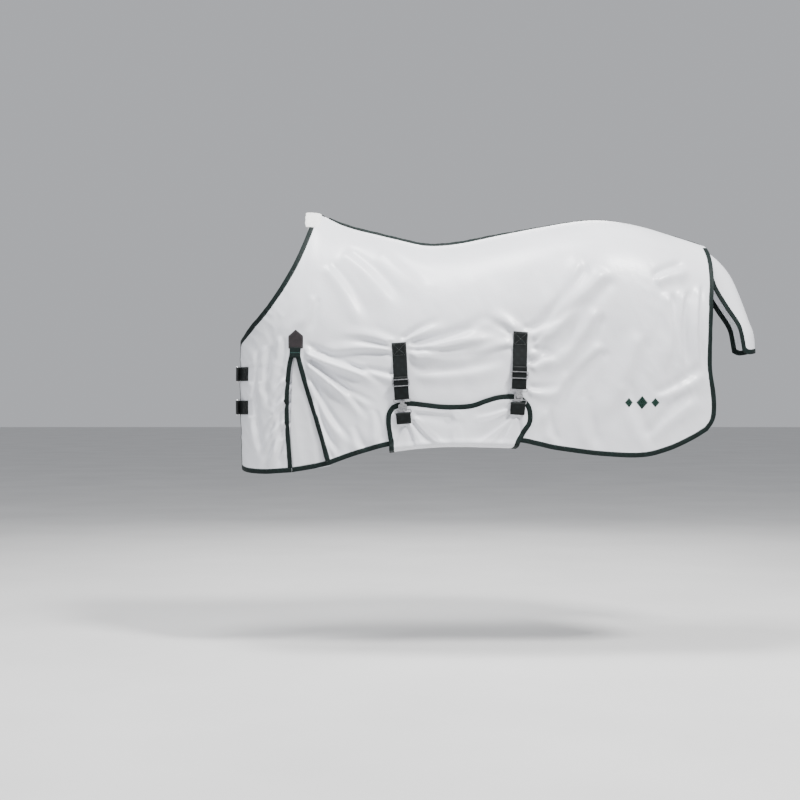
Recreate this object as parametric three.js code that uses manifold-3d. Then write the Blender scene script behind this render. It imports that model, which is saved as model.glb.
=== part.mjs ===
// A horse's fly sheet, as it lies on the horse: body, opening fronts, shoulder gussets, tail flap and
// belly flap, with its bindings, straps and metalwork.
// Millimetres. +X runs from the withers to the tail, +Z is up, and the horse's left side is at -Y.
// The origin is on the underside of the withers pad, where the sheet bears on the horse.
import * as THREE from "three";
import Module from "manifold-3d";
import { mergeVertices } from "three/addons/utils/BufferGeometryUtils.js";

const wasm = await Module();
wasm.setup();

// ---------------------------------------------------------------- driving dimensions
const CLOTH = 2.4; // one layer of sheet cloth with its seams
const TAPE = 1.5; // binding tape
const BINDING = 16; // how far the tape reaches in from an edge
const WEB = 1.9; // webbing
const WEB_WIDTH = 50;
const GAP = 0.3; // between pieces that touch
const TAPE_GAP = 1.1; // between a tape and the cloth it binds
const SEAM = 0.25; // each side panel stops this far from the centre line
const WIRE = 3; // thickness of the metalwork
const CHEST_STRAP_Z = { upper: -575, lower: -695 };
const STRAP_X = { front: [319, 332, 339], rear: [740, 732, 727] }; // at the anchor, the hook and the tab
const STRAP_TOP = { front: -469, rear: -432 };
const HOOK_BAR_Z = { front: -662, rear: -626 };
const SLIDE_Z = { front: -608, rear: -581 };
const TAB_FOOT = { front: -749, rear: -717 };
const HINGE_X = -92; // where each front panel parts from its body panel
const CUT_DEPTH = 30; // how far the cutter that opens each slit runs past the cloth
const ROOM_DEPTH = 7; // how far the cutters that make room for the tapes run past the cloth
const END_ROOM = 5; // the same along a tape, past its ends
const EDGE_S = -344; // station of the front edges, just short of the centre line

// Levels above the inner face of the body cloth, outwards, with slack for the curve between mesh rows.
const SLACK = 1.2;
const ON_CLOTH = CLOTH + SLACK;
const ON_BINDING = CLOTH + TAPE + SLACK;
const FLAP = ON_BINDING + TAPE + 1.2; // inner face of the belly flap where it lies on the left side
const ON_FLAP = FLAP + CLOTH + SLACK;
const UNDER_BINDING = -TAPE - 1.5 * SLACK;
const LOOP = 3.7; // half the height of a webbing loop round a bar, to the middle of the webbing
const EYE_LEVEL = ON_FLAP + WEB / 2 + 0.3 + LOOP; // middle of the eyes on the belly flap
const CHEST_EYE_LEVEL = ON_BINDING + WEB / 2 + 6 + LOOP;
const HOOK_RISE = 3.5; // middle of a hook above the middle of its eye

const LEFT = -1;
const RIGHT = 1;

// ---------------------------------------------------------------- curves
// A smooth curve through [x, value] pairs, held level beyond its ends.
function profile(points) {
  const last = points.length - 1;
  const slope = (i) => {
    const a = points[Math.max(i - 1, 0)];
    const b = points[Math.min(i + 1, last)];
    return (b[1] - a[1]) / (b[0] - a[0]);
  };
  return (x) => {
    if (x <= points[0][0]) return points[0][1];
    if (x >= points[last][0]) return points[last][1];
    const i = points.findIndex((p) => p[0] >= x) - 1;
    const [x0, y0] = points[i];
    const [x1, y1] = points[i + 1];
    const h = x1 - x0;
    const t = (x - x0) / h;
    const rise = (1 - t) ** 2 * t * slope(i) * h - t ** 2 * (1 - t) * slope(i + 1) * h;
    return y0 * (1 + 2 * t) * (1 - t) ** 2 + y1 * t ** 2 * (3 - 2 * t) + rise;
  };
}

// A curve through points of a chart, as t from 0 to 1 gives [a, b], evenly by length.
function route(points) {
  const curve = new THREE.SplineCurve(points.map(([a, b]) => new THREE.Vector2(a, b)));
  return (t) => curve.getPointAt(THREE.MathUtils.clamp(t, 0, 1)).toArray();
}

const line = (from, to) => (t) => from.map((v, i) => v + (to[i] - v) * t);
const join = (first, second, share) => (t) =>
  t < share ? first(t / share) : second((t - share) / (1 - share));
const reverse = (curve) => (t) => curve(1 - t);
const part = (curve, from, to) => (t) => curve(from + (to - from) * t);

// The patch that four edges of a chart bound: (u, v) from (0, 0) at top and front to (1, 1).
function patch(top, bottom, front, rear) {
  return (u, v) =>
    [0, 1].map((i) => {
      const across = (1 - v) * top(u)[i] + v * bottom(u)[i];
      const down = (1 - u) * front(v)[i] + u * rear(v)[i];
      const upper = (1 - u) * top(0)[i] + u * top(1)[i];
      const lower = (1 - u) * bottom(0)[i] + u * bottom(1)[i];
      return across + down - (1 - v) * upper - v * lower;
    });
}

// ---------------------------------------------------------------- the draped shape
// Along X: the spine's height, the half width, how far below the spine that is, and how full the top is.
const ridge = profile([
  [-300, 60], [-120, 30], [-20, 10], [22, 8.6], [62, -8], [110, -31], [164, -49], [237, -67], [310, -85],
  [420, -108], [530, -102], [675, -73], [820, -45], [967, -21], [1060, -18], [1186, -37], [1332, -79],
  [1425, -108],
]);
const breadth = profile([
  [-250, 186], [-100, 208], [0, 226], [150, 248], [300, 270], [450, 286], [600, 294], [750, 290],
  [900, 282], [1050, 280], [1200, 272], [1320, 250], [1420, 212],
]);
const fall = profile([[-250, 440], [0, 440], [300, 420], [600, 400], [900, 340], [1150, 320], [1420, 330]]);
const fullness = profile([
  [-100, 1.35], [20, 1.35], [150, 1.5], [300, 1.8], [600, 2.0], [1000, 2.25], [1420, 1.9],
]);
// The horse's front by height: the chest, and above it the underside of the neck.
const chest = profile([
  [-930, -250], [-700, -256], [-440, -256], [-400, -267], [-350, -278], [-290, -288], [-100, -320],
  [100, -360],
]);
const WRAP = 20; // forward of here the sheet wraps round to the chest
const WRAP_LENGTH = 370; // its length round to the centre line
const WRAP_SQUARE = 0.87; // under 1 is a squarer chest than an ellipse
const TUCK = 0.05; // how much the sides draw in towards the hem

// A point of the side chart, [station, height], at a level out from the cloth's inner face.
function onBody(side, s, z) {
  const turn = (Math.max(WRAP - s, 0) / WRAP_LENGTH) * (Math.PI / 2);
  const x = s < WRAP ? WRAP - (WRAP - chest(z)) * Math.sin(turn) : s;
  const down = Math.max(ridge(x) - z, 0) / fall(x);
  const section = down < 1 ? (1 - (1 - down) ** 2) ** (1 / fullness(x)) : 1 - TUCK * (down - 1) ** 2;
  const round = Math.sign(Math.cos(turn)) * Math.abs(Math.cos(turn)) ** WRAP_SQUARE;
  const y = breadth(x) * section * round + (round > 0 ? SEAM : -SEAM);
  return new THREE.Vector3(x, side * y, Math.min(z, ridge(x)));
}

// A chart gives the point of a surface at (a, b) and a level along its outward normal.
function chart(surface, outward, stepA = 1, stepB = 1) {
  return (a, b, level) => {
    const alongA = surface(a + stepA, b).sub(surface(a - stepA, b));
    const alongB = surface(a, b + stepB).sub(surface(a, b - stepB));
    const normal = alongA.cross(alongB).normalize().multiplyScalar(outward);
    return surface(a, b).addScaledVector(normal, level);
  };
}

const body = {
  [LEFT]: chart((s, z) => onBody(LEFT, s, z), 1),
  [RIGHT]: chart((s, z) => onBody(RIGHT, s, z), -1),
};

// ---------------------------------------------------------------- solids
// A box of nu x nv x 1 cells moved by place(u, v, w), each from 0 to 1.
function warp(nu, nv, place) {
  const geometry = new THREE.BoxGeometry(1, 1, 1, nu, nv, 1);
  const at = geometry.getAttribute("position");
  for (let i = 0; i < at.count; i++) {
    const p = place(at.getX(i) + 0.5, at.getY(i) + 0.5, at.getZ(i) + 0.5);
    at.setXYZ(i, p.x, p.y, p.z);
  }
  return facingOut(geometry);
}

function volume(geometry) {
  const at = geometry.getAttribute("position");
  const corner = (i) => new THREE.Vector3().fromBufferAttribute(at, geometry.index.getX(i));
  let sum = 0;
  for (let i = 0; i < geometry.index.count; i += 3) sum += corner(i).dot(corner(i + 1).cross(corner(i + 2)));
  return sum;
}

function facingOut(geometry) {
  if (volume(geometry) < 0) {
    const index = geometry.index;
    for (let i = 0; i < index.count; i += 3) {
      const first = index.getX(i);
      index.setX(i, index.getX(i + 1));
      index.setX(i + 1, first);
    }
  }
  return geometry;
}

// A sheet of cloth over a patch of a chart.
function cloth(over, area, nu, nv, { level = 0, thick = CLOTH, rows = (v) => v } = {}) {
  return warp(nu, nv, (u, v, w) => over(...area(u, rows(v)), level + thick * w));
}

// A bound edge of a chart: tape on both sides of the cloth, from the edge inwards.
// inward is 1 where the cloth is on the left of the edge's direction.
function bound(over, edge, n, inward, { past = 0, grow = 0, depth = TAPE } = {}) {
  return warp(n, 1, (u, v, w) => {
    const [a, b] = edge(u);
    const [a1, b1] = edge(Math.min(u + 0.01, 1));
    const [a0, b0] = edge(Math.max(u - 0.01, 0));
    const unitA = over(a + 1, b, 0).distanceTo(over(a - 1, b, 0)) / 2; // millimetres to one unit of the chart
    const unitB = over(a, b + 1, 0).distanceTo(over(a, b - 1, 0)) / 2;
    const along = new THREE.Vector2((a1 - a0) * unitA, (b1 - b0) * unitB).normalize();
    const run = Math.sign(grow) * (u === 0 ? -END_ROOM : u === 1 ? END_ROOM : 0);
    const d = inward * (v === 0 ? -past : BINDING + grow);
    const level = w === 0 ? -depth : CLOTH + depth;
    return over(a + (along.x * run - along.y * d) / unitA, b + (along.y * run + along.x * d) / unitB, level);
  });
}
// The cutter that makes room in the cloth for a bound edge.
const room = (over, edge, n, inward, options = {}) =>
  bound(over, edge, n, inward, { past: CUT_DEPTH, grow: TAPE_GAP, depth: ROOM_DEPTH, ...options });

const SEWN = 50; // of a strap's top, stitched to the sheet
// Webbing folded round a bar: down the back from `from` to `to`, round, and up the front as far as `back`.
function looped(over, from, to, back, levels, { width = WEB_WIDTH, thick = WEB, turns = 4 } = {}) {
  const along = new THREE.Vector2(to[0] - from[0], to[1] - from[1]);
  const length = along.length();
  along.normalize();
  const middle = (levels.back + levels.front) / 2;
  const radius = (levels.front - levels.back) / 2;
  const path = [[0, levels.start], [SEWN, levels.start], [length * 0.62, levels.back], [length, levels.back]];
  if (length < 2 * SEWN) path.splice(1, 1);
  for (let i = 1; i < turns; i++) {
    const turn = (i / turns) * Math.PI;
    path.push([length + radius * Math.sin(turn), middle - radius * Math.cos(turn)]);
  }
  path.push([length, levels.front], [length - back, levels.front]);
  return ribbon(over, from, along, path.flatMap(stepsTo), width, thick);
}

const STEP = 18; // longest step along a strap
// The points of a path up to its point i, in short steps.
function stepsTo(point, i, path) {
  if (i === 0) return [point];
  const before = path[i - 1];
  const n = Math.ceil(Math.hypot(point[0] - before[0], point[1] - before[1]) / STEP);
  return Array.from({ length: n }, (_, k) => line(before, point)((k + 1) / n));
}

// Webbing through a path of [run, level] points that leaves a chart point in a direction.
function ribbon(over, from, along, path, width, thick) {
  const last = path.length - 1;
  return warp(last, 2, (u, v, w) => {
    const k = Math.round(u * last);
    const [p, q] = [path[Math.max(k - 1, 0)], path[Math.min(k + 1, last)]];
    const tangent = new THREE.Vector2(q[0] - p[0], q[1] - p[1]).normalize();
    const side = (w - 0.5) * thick;
    const run = path[k][0] + tangent.y * side;
    const level = path[k][1] - tangent.x * side;
    const d = (v - 0.5) * width;
    return over(from[0] + along.x * run - along.y * d, from[1] + along.y * run + along.x * d, level);
  });
}

function solid(geometry) {
  const bare = new THREE.BufferGeometry();
  bare.setAttribute("position", geometry.getAttribute("position"));
  if (geometry.index) bare.setIndex(geometry.index);
  const merged = mergeVertices(bare, 1e-3);
  const mesh = new wasm.Mesh({
    numProp: 3,
    vertProperties: new Float32Array(merged.getAttribute("position").array),
    triVerts: new Uint32Array(merged.index.array),
  });
  return new wasm.Manifold(mesh);
}

function geometryOf(made) {
  const { vertProperties, triVerts } = made.getMesh();
  return new THREE.BufferGeometry()
    .setAttribute("position", new THREE.BufferAttribute(new Float32Array(vertProperties), 3))
    .setIndex(new THREE.BufferAttribute(new Uint32Array(triVerts), 1));
}

const joined = (...geometries) => geometryOf(geometries.map(solid).reduce((a, b) => a.add(b)));

// What is left of a solid, without the slivers that a cutter leaves along an edge.
function cut(geometry, ...cutters) {
  const left = cutters.map(solid).reduce((a, b) => a.subtract(b), solid(geometry));
  return geometryOf(left.decompose().reduce((a, b) => (a.volume() > b.volume() ? a : b)));
}

function box(width, height, depth, x = 0, y = 0, z = 0) {
  return new THREE.BoxGeometry(width, height, depth).translate(x, y, z);
}

// ---------------------------------------------------------------- outlines in the side chart
// The station at which the sheet is at x along the horse, at height z.
function station(x, z) {
  if (x >= WRAP) return x;
  return WRAP - (Math.asin(Math.min((WRAP - x) / (WRAP - chest(z)), 1)) / (Math.PI / 2)) * WRAP_LENGTH;
}
const placed = ([x, z]) => [station(x, z), z];
const outline = (points) => route(points.map(placed));

const spineAt = (x) => [x, ridge(x)];
const NECK_TOP = [-2, -49]; // the binding of the neck edge starts below the pad
const neck = route([
  placed([0, ridge(0)]), placed(NECK_TOP), placed([-37, -151]), placed([-72, -224]), placed([-116, -296]),
  placed([-168, -362]), placed([-218, -415]), [-300, -455], [EDGE_S, -468],
]);

// The share of a curve at which its point reaches the value `x` of a measure that falls along it.
function shareAt(curve, measure, x) {
  let [low, high] = [0, 1];
  for (let i = 0; i < 30; i++) {
    const middle = (low + high) / 2;
    if (measure(curve(middle)) > x) low = middle;
    else high = middle;
  }
  return low;
}
const alongHorse = ([s, z]) => onBody(LEFT, s, z).x;
const NECK_SPLIT = shareAt(neck, alongHorse, HINGE_X);
const NECK_BOUND = shareAt(neck, ([, z]) => z, NECK_TOP[1]);

const chestEdge = line([EDGE_S, -468], [EDGE_S, -915]);
const hingeFoot = placed([HINGE_X, -924]);
const hingeLine = (t) => placed([HINGE_X, neck(NECK_SPLIT)[1] * (1 - t) + hingeFoot[1] * t]);
const frontHem = route([[EDGE_S, -915], [-250, -926], placed([-160, -929]), hingeFoot]);
// The slit's two edges, from its top down to the hem.
const SLIT_FRONT_FOOT = [-57, -921];
const SLIT_REAR_FOOT = [68, -897];
const slitFront = outline([[-50, -500], [-63, -560], [-68, -660], [-68, -763], [-61, -846], SLIT_FRONT_FOOT]);
const slitRear = outline([[-42, -500], [-21, -591], [-1, -660], [27, -749], [51, -832], SLIT_REAR_FOOT]);
const rearEdge = route([
  spineAt(1427), [1434, -166], [1431, -251], [1424, -319], [1417, -450], [1416, -554], [1430, -645],
  [1432, -710], [1424, -745], [1402, -775],
]);
const hem = route([
  hingeFoot, placed(SLIT_FRONT_FOOT), placed([8, -910]), SLIT_REAR_FOOT, [145, -868], [214, -846],
  [282, -828], [400, -812], [520, -806], [640, -808], [742, -814], [805, -827], [875, -842], [1035, -862],
  [1170, -866], [1263, -844], [1346, -807], [1402, -775],
]);
const spine = (t) => spineAt(WRAP + (1427 - WRAP) * t);
const NECK_SHARE = 3 / 26; // of the body panel's columns, those that start at the neck edge
const bodyArea = patch(join(reverse(part(neck, 0, NECK_SPLIT)), spine, NECK_SHARE), hem, hingeLine, rearEdge);
function slitArea(u, v) {
  const [a, b] = line(slitFront(v), slitRear(v))(u);
  return [a, v < 1 ? b : b - CUT_DEPTH];
}
const shifted = (curve, by) => (t) => [curve(t)[0] + by, curve(t)[1]];
const frontArea = patch(
  part(neck, NECK_SPLIT, 1),
  reverse(frontHem),
  shifted(hingeLine, -2 * GAP),
  chestEdge,
);
const insertTop = line([slitFront(0)[0] - 8, -506], [slitRear(0)[0] + 8, -506]);
const insertFoot = line([slitFront(1)[0] - 10, -921], [slitRear(1)[0] + 10, -893]);
const insertSide = (end) => line(insertTop(end), insertFoot(end));
const insertArea = patch(insertTop, insertFoot, insertSide(0), insertSide(1));

// ---------------------------------------------------------------- the belly flap
// It is sewn inside the right hem, passes under the belly and lies on the outside of the left panel.
const hemZ = profile([
  [214, -846], [282, -828], [400, -812], [520, -806], [640, -808], [742, -814], [805, -827],
]);
const FLAP_SAG = 30; // below the hem at the centre line

function flapSection(x) {
  const under = hemZ(x);
  const side = (which, z, level) => body[which](x, z, level);
  const y = onBody(RIGHT, x, under).y;
  const at = (share, z) => new THREE.Vector3(x, y * share, z);
  return new THREE.CatmullRomCurve3([
    side(RIGHT, under + 34, UNDER_BINDING - CLOTH),
    side(RIGHT, under + 6, UNDER_BINDING - CLOTH - 1),
    at(0.86, under - 13),
    at(0.55, under - FLAP_SAG + 2),
    at(0, under - FLAP_SAG - 3),
    at(-0.55, under - FLAP_SAG + 2),
    at(-0.92, under - 24),
    side(LEFT, under - 12, FLAP + 3),
    side(LEFT, under + 10, FLAP + 1),
    side(LEFT, under + 50, FLAP),
    side(LEFT, under + 100, FLAP),
    side(LEFT, under + 150, FLAP),
    side(LEFT, under + 210, FLAP),
  ], false, "centripetal");
}

const sections = new Map();
// The flap's chart: [x, length of cloth from the seam].
function onFlap(x, q) {
  const key = Math.round(x * 10);
  if (!sections.has(key)) {
    const made = flapSection(x);
    made.arcLengthDivisions = 300;
    sections.set(key, made);
  }
  const curve = sections.get(key);
  return curve.getPointAt(THREE.MathUtils.clamp(q / curve.getLength(), 0, 1));
}
const flap = chart(onFlap, -1);

// The flap's chart point at x, where it has come up its left side to height z.
function upFlap([x, z]) {
  let [low, high] = [600, 860];
  for (let i = 0; i < 24; i++) {
    const middle = (low + high) / 2;
    if (onFlap(x, middle).z < z) low = middle;
    else high = middle;
  }
  return [x, low];
}
const FLAP_FRONT = 286;
const FLAP_REAR = 727;
const flapFrontEdge = route([
  [FLAP_FRONT, 0], [FLAP_FRONT, 300], [288, 560], upFlap([284, -800]), upFlap([277, -750]),
  upFlap([280, -712]), upFlap([296, -688]),
]);
const flapTopEdge = route([
  [296, -688], [324, -677], [357, -673], [408, -678], [470, -685], [533, -685], [575, -680], [617, -665],
  [663, -652], [713, -650], [748, -660],
].map(upFlap));
const flapRearEdge = route([
  [FLAP_REAR, 0], [FLAP_REAR, 300], [FLAP_REAR + 1, 560], upFlap([752, -790]), upFlap([776, -752]),
  upFlap([780, -718]), upFlap([771, -684]), upFlap([748, -660]),
]);
const flapArea = patch(line([FLAP_FRONT, 0], [FLAP_REAR, 0]), flapTopEdge, flapFrontEdge, flapRearEdge);

// ---------------------------------------------------------------- the tail flap
const tailRidge = new THREE.SplineCurve([
  [1434, -126], [1462, -146], [1488, -170], [1517, -208], [1542, -256], [1568, -325], [1590, -383],
  [1606, -427], [1614, -502],
].map((p) => new THREE.Vector2(...p)));
const tailSide = new THREE.SplineCurve([
  [1424, -176], [1426, -224], [1438, -281], [1478, -345], [1524, -407], [1535, -455], [1538, -526],
].map((p) => new THREE.Vector2(...p)));
const TAIL_WIDTH = 84; // from the middle to each side edge
const TAIL_LENGTH = 420;
// The tail flap's chart: [length down it, -90 to 90 degrees round it].
function onTail(q, round) {
  const t = THREE.MathUtils.clamp(q / TAIL_LENGTH, 0, 1);
  const top = tailRidge.getPointAt(t);
  const side = tailSide.getPointAt(t);
  const turn = THREE.MathUtils.degToRad(round);
  const share = 1 - Math.cos(turn);
  const spread = TAIL_WIDTH * (0.94 + 0.12 * t);
  const [x, z] = [top.x + (side.x - top.x) * share, top.y + (side.y - top.y) * share];
  return new THREE.Vector3(x, spread * Math.sin(turn), z);
}
const tail = chart(onTail, 1);
const TAIL_ROUND = 80; // degrees from the middle to each side edge
const tailCorner = (side) => [
  [0, side * TAIL_ROUND], [300, side * TAIL_ROUND], [390, side * (TAIL_ROUND - 4)],
];
const tailSides = [-1, 1].map((side) => route(tailCorner(side)));
const tailFoot = route([
  [390, 4 - TAIL_ROUND], [410, 26 - TAIL_ROUND], [414, 0], [410, TAIL_ROUND - 26], [390, TAIL_ROUND - 4],
]);
const tailArea = patch(tailSides[0], tailSides[1], line([0, -TAIL_ROUND], [0, TAIL_ROUND]), tailFoot);
const tailEdge = (t) => {
  if (t < 0.4) return tailSides[0](t / 0.4);
  if (t > 0.6) return tailSides[1]((1 - t) / 0.4);
  return tailFoot((t - 0.4) / 0.2);
};

// ---------------------------------------------------------------- metalwork
// Flat local frame: x across the strap, y along it towards the eye, z out from the horse.
function metalShape(width, height, radius) {
  const shape = new THREE.Shape();
  const [w, h] = [width / 2, height / 2];
  shape.absarc(w - radius, -h + radius, radius, -Math.PI / 2, 0);
  shape.absarc(w - radius, h - radius, radius, 0, Math.PI / 2);
  shape.absarc(-w + radius, h - radius, radius, Math.PI / 2, Math.PI);
  shape.absarc(-w + radius, -h + radius, radius, Math.PI, Math.PI * 1.5);
  return shape;
}

const plateOf = (shape, thick) =>
  new THREE.ExtrudeGeometry(shape, { depth: thick, bevelEnabled: false, curveSegments: 2 }).translate(
    0,
    0,
    -thick / 2,
  );

function ring(width, height, wire, thick = WIRE) {
  const shape = metalShape(width, height, 5);
  shape.holes.push(metalShape(width - 2 * wire, height - 2 * wire, 2.2));
  return plateOf(shape, thick);
}

const LOOP_WIDTH = 60; // of the slots that the webbing passes through
const LOOP_HEIGHT = 15;
const HOOK_REACH = 33; // from the bar in the webbing to the hook's lip
const BAR = LOOP_HEIGHT / 2 - WIRE / 2; // from the middle of a slot to either bar

function hookSolid() {
  const slot = ring(LOOP_WIDTH, LOOP_HEIGHT, WIRE).translate(0, BAR, 0);
  const neck = plateOf(metalShape(15, 27, 3), WIRE).translate(0, HOOK_REACH - 11, 0);
  const lip = box(12, 3, 5, 0, HOOK_REACH - 0.5, -WIRE / 2 - 2.1);
  return joined(slot, neck, lip);
}

// The eye's hole takes the hook's lip. Its own bar, in the tab, lies at EYE_REACH.
const EYE_REACH = 53;
function eyeSolid() {
  const tongue = metalShape(30, 26, 5);
  tongue.holes.push(metalShape(18, 10, 3));
  const slot = ring(LOOP_WIDTH, LOOP_HEIGHT, WIRE).translate(0, EYE_REACH - BAR, 0);
  return joined(plateOf(tongue, WIRE).translate(0, HOOK_REACH - 0.5, 0), slot);
}

const SLIDE_CLEAR = 1; // between the slide's bars and the webbing
const SLIDE_HEIGHT = 25;
function slideSolid() {
  const level = LOOP + WEB / 2 + SLIDE_CLEAR + WIRE / 2;
  const front = ring(LOOP_WIDTH, SLIDE_HEIGHT, WIRE).translate(0, 0, level);
  const bar = box(LOOP_WIDTH - 2, WIRE, WIRE, 0, 0, -level);
  const postAt = (LOOP_WIDTH - WIRE) / 2;
  const posts = [-1, 1].map((end) => box(WIRE, 6, 2 * level + WIRE - 1, end * postAt, 0, -0.5));
  return joined(front, bar, ...posts);
}

// ---------------------------------------------------------------- materials and the assembly
const FINISHES = {
  cloth: { color: 0xe9eaee, roughness: 0.5, metalness: 0 },
  insert: { color: 0xe2e2e6, roughness: 0.5, metalness: 0 },
  binding: { color: 0x1b2c29, roughness: 0.75, metalness: 0 },
  webbing: { color: 0x14191a, roughness: 0.8, metalness: 0 },
  fleece: { color: 0xf1f1ef, roughness: 0.95, metalness: 0 },
  leather: { color: 0x38323a, roughness: 0.6, metalness: 0 },
  nickel: { color: 0xb9bcc0, roughness: 0.3, metalness: 0.9 },
};

const sheet = new THREE.Group();
function add(name, geometry, finish, frame) {
  const made = new THREE.Mesh(geometry, new THREE.MeshStandardMaterial(FINISHES[finish]));
  made.name = name;
  if (frame) made.applyMatrix4(frame);
  sheet.add(made);
}

// A rigid frame on a side: its origin at a chart point and level, y along `along` in the chart.
function frameOn(over, [a, b], level, towards) {
  const origin = over(a, b, level);
  const out = over(a, b, level + 1).sub(origin).normalize();
  const along = over(towards[0], towards[1], level).sub(origin);
  along.addScaledVector(out, -along.dot(out)).normalize();
  const across = new THREE.Vector3().crossVectors(along, out);
  return new THREE.Matrix4().makeBasis(across, along, out).setPosition(origin);
}

const rowsFromTop = (v) => v ** 1.45; // rows lie closer where the sheet turns over the back

const SIDES = { left: LEFT, right: RIGHT };
for (const [name, side] of Object.entries(SIDES)) {
  const over = body[side];
  const bodyEdges = {
    neck_binding: [part(neck, NECK_BOUND, NECK_SPLIT - 0.004), 8, 1],
    hem_binding: [part(hem, 0.006, 0.985), 32, 1],
    rear_binding: [part(rearEdge, 0.04, 0.985), 12, -1],
    gusset_binding_front: [part(slitFront, 0.015, 0.955), 8, -1, { past: 1 }],
    gusset_binding_rear: [part(slitRear, 0.015, 0.955), 8, 1, { past: 1 }],
  };
  const frontEdges = {
    front_neck_binding: [part(neck, NECK_SPLIT + 0.04, 0.945), 8, 1],
    chest_binding: [part(chestEdge, 0, 0.962), 4, 1],
    front_hem_binding: [part(frontHem, 0, 0.985), 7, 1],
  };
  const rooms = (edges) => Object.values(edges).map((edge) => room(over, ...edge));
  const opening = warp(1, 8, (u, v, w) => over(...slitArea(u, v), -CUT_DEPTH + 2 * CUT_DEPTH * w));
  const whole = cloth(over, bodyArea, 26, 12, { rows: rowsFromTop });
  add(`body_panel_${name}`, cut(whole, opening, ...rooms(bodyEdges)), "cloth");
  add(`front_panel_${name}`, cut(cloth(over, frontArea, 9, 8), ...rooms(frontEdges)), "cloth");
  add(`gusset_insert_${name}`, cloth(over, insertArea, 4, 10, { level: UNDER_BINDING - CLOTH }), "insert");
  for (const [piece, [edge, n, inward]] of Object.entries({ ...bodyEdges, ...frontEdges })) {
    add(`${piece}_${name}`, bound(over, edge, n, inward), "binding");
  }
}

// The pentagonal patch over the top of each slit.
const PATCH = { x: -42, width: 52, apex: -421, shoulder: -443, foot: -487 };
for (const [name, side] of Object.entries(SIDES)) {
  const half = PATCH.width / 2;
  const pointed = (u) => PATCH.apex + (PATCH.shoulder - PATCH.apex) * Math.abs(2 * u - 1);
  const area = (u, v) => placed([PATCH.x + (u - 0.5) * 2 * half, pointed(u) * (1 - v) + PATCH.foot * v]);
  add(`gusset_patch_${name}`, cloth(body[side], area, 4, 2, { level: ON_CLOTH, thick: WEB }), "leather");
}

// The spine binding stands up as a ridge along the dip of the back and lies flat over the rump.
const SPINE_BINDING = { from: 62, to: 1418, half: 9, fin: 1.5 };
const finHeight = profile([[62, 1.6], [110, 6], [250, 7], [600, 7], [760, 3.5], [900, 1.6], [1420, 1.6]]);
const spineBinding = warp(26, 4, (u, v, w) => {
  const x = SPINE_BINDING.from + (SPINE_BINDING.to - SPINE_BINDING.from) * u;
  const across = [-SPINE_BINDING.half, -SPINE_BINDING.fin, 0, SPINE_BINDING.fin, SPINE_BINDING.half];
  const k = Math.round(v * 4);
  const top = k === 0 || k === 4 ? TAPE : Math.max(finHeight(x), TAPE);
  return new THREE.Vector3(x, across[k], ridge(x) + CLOTH + 1.5 * SLACK + top * w);
});
add("spine_binding", spineBinding, "binding");

// The withers pad lies inside the neck edge, over the withers, and its lip shows ahead of it.
// Its underside is flat in the middle.
const PAD_COLUMNS = [-22, -5, -4, 20, 44];
const PAD_ROWS = [-52, -37, -22, -8, 0, 8, 22, 37, 52];
const PAD_LIP = 6; // how far its lip stands up ahead of the neck edge
const PAD_THIN = 3.2; // its thickness where it turns down
function backZ(y) {
  const x = WRAP;
  const down = 1 - Math.sqrt(1 - (Math.abs(y) / breadth(x)) ** fullness(x));
  return ridge(x) - fall(x) * down;
}
const withersPad = warp(4, 8, (u, v, w) => {
  const x = PAD_COLUMNS[Math.round(u * 4)];
  const y = PAD_ROWS[Math.round(v * 8)];
  const top = backZ(y) - 3;
  const lip = x < -4.5 ? PAD_LIP : 0;
  return new THREE.Vector3(x, y, w > 0.5 ? top + lip : Math.min(0, top - PAD_THIN));
});
const underBody = (side) =>
  cloth(body[side], bodyArea, 26, 12, { level: -1, thick: 40, rows: rowsFromTop });
add("withers_pad", cut(withersPad, underBody(LEFT), underBody(RIGHT)), "fleece");

const tailBound = [part(tailEdge, 0.055, 0.945), 36, 1];
add("tail_flap", cut(cloth(tail, tailArea, 12, 6), room(tail, ...tailBound)), "cloth");
add("tail_flap_binding", bound(tail, ...tailBound), "binding");
const flapEdge = (t) => {
  if (t < 0.4) return part(flapFrontEdge, 0.03, 1)(t / 0.4);
  if (t > 0.62) return part(flapRearEdge, 0.03, 1)((1 - t) / 0.38);
  return flapTopEdge((t - 0.4) / 0.22);
};
const flapBound = [flapEdge, 90, -1];
add("belly_flap", cut(cloth(flap, flapArea, 8, 34), room(flap, ...flapBound)), "cloth");
add("belly_flap_binding", bound(flap, ...flapBound), "binding");

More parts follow.
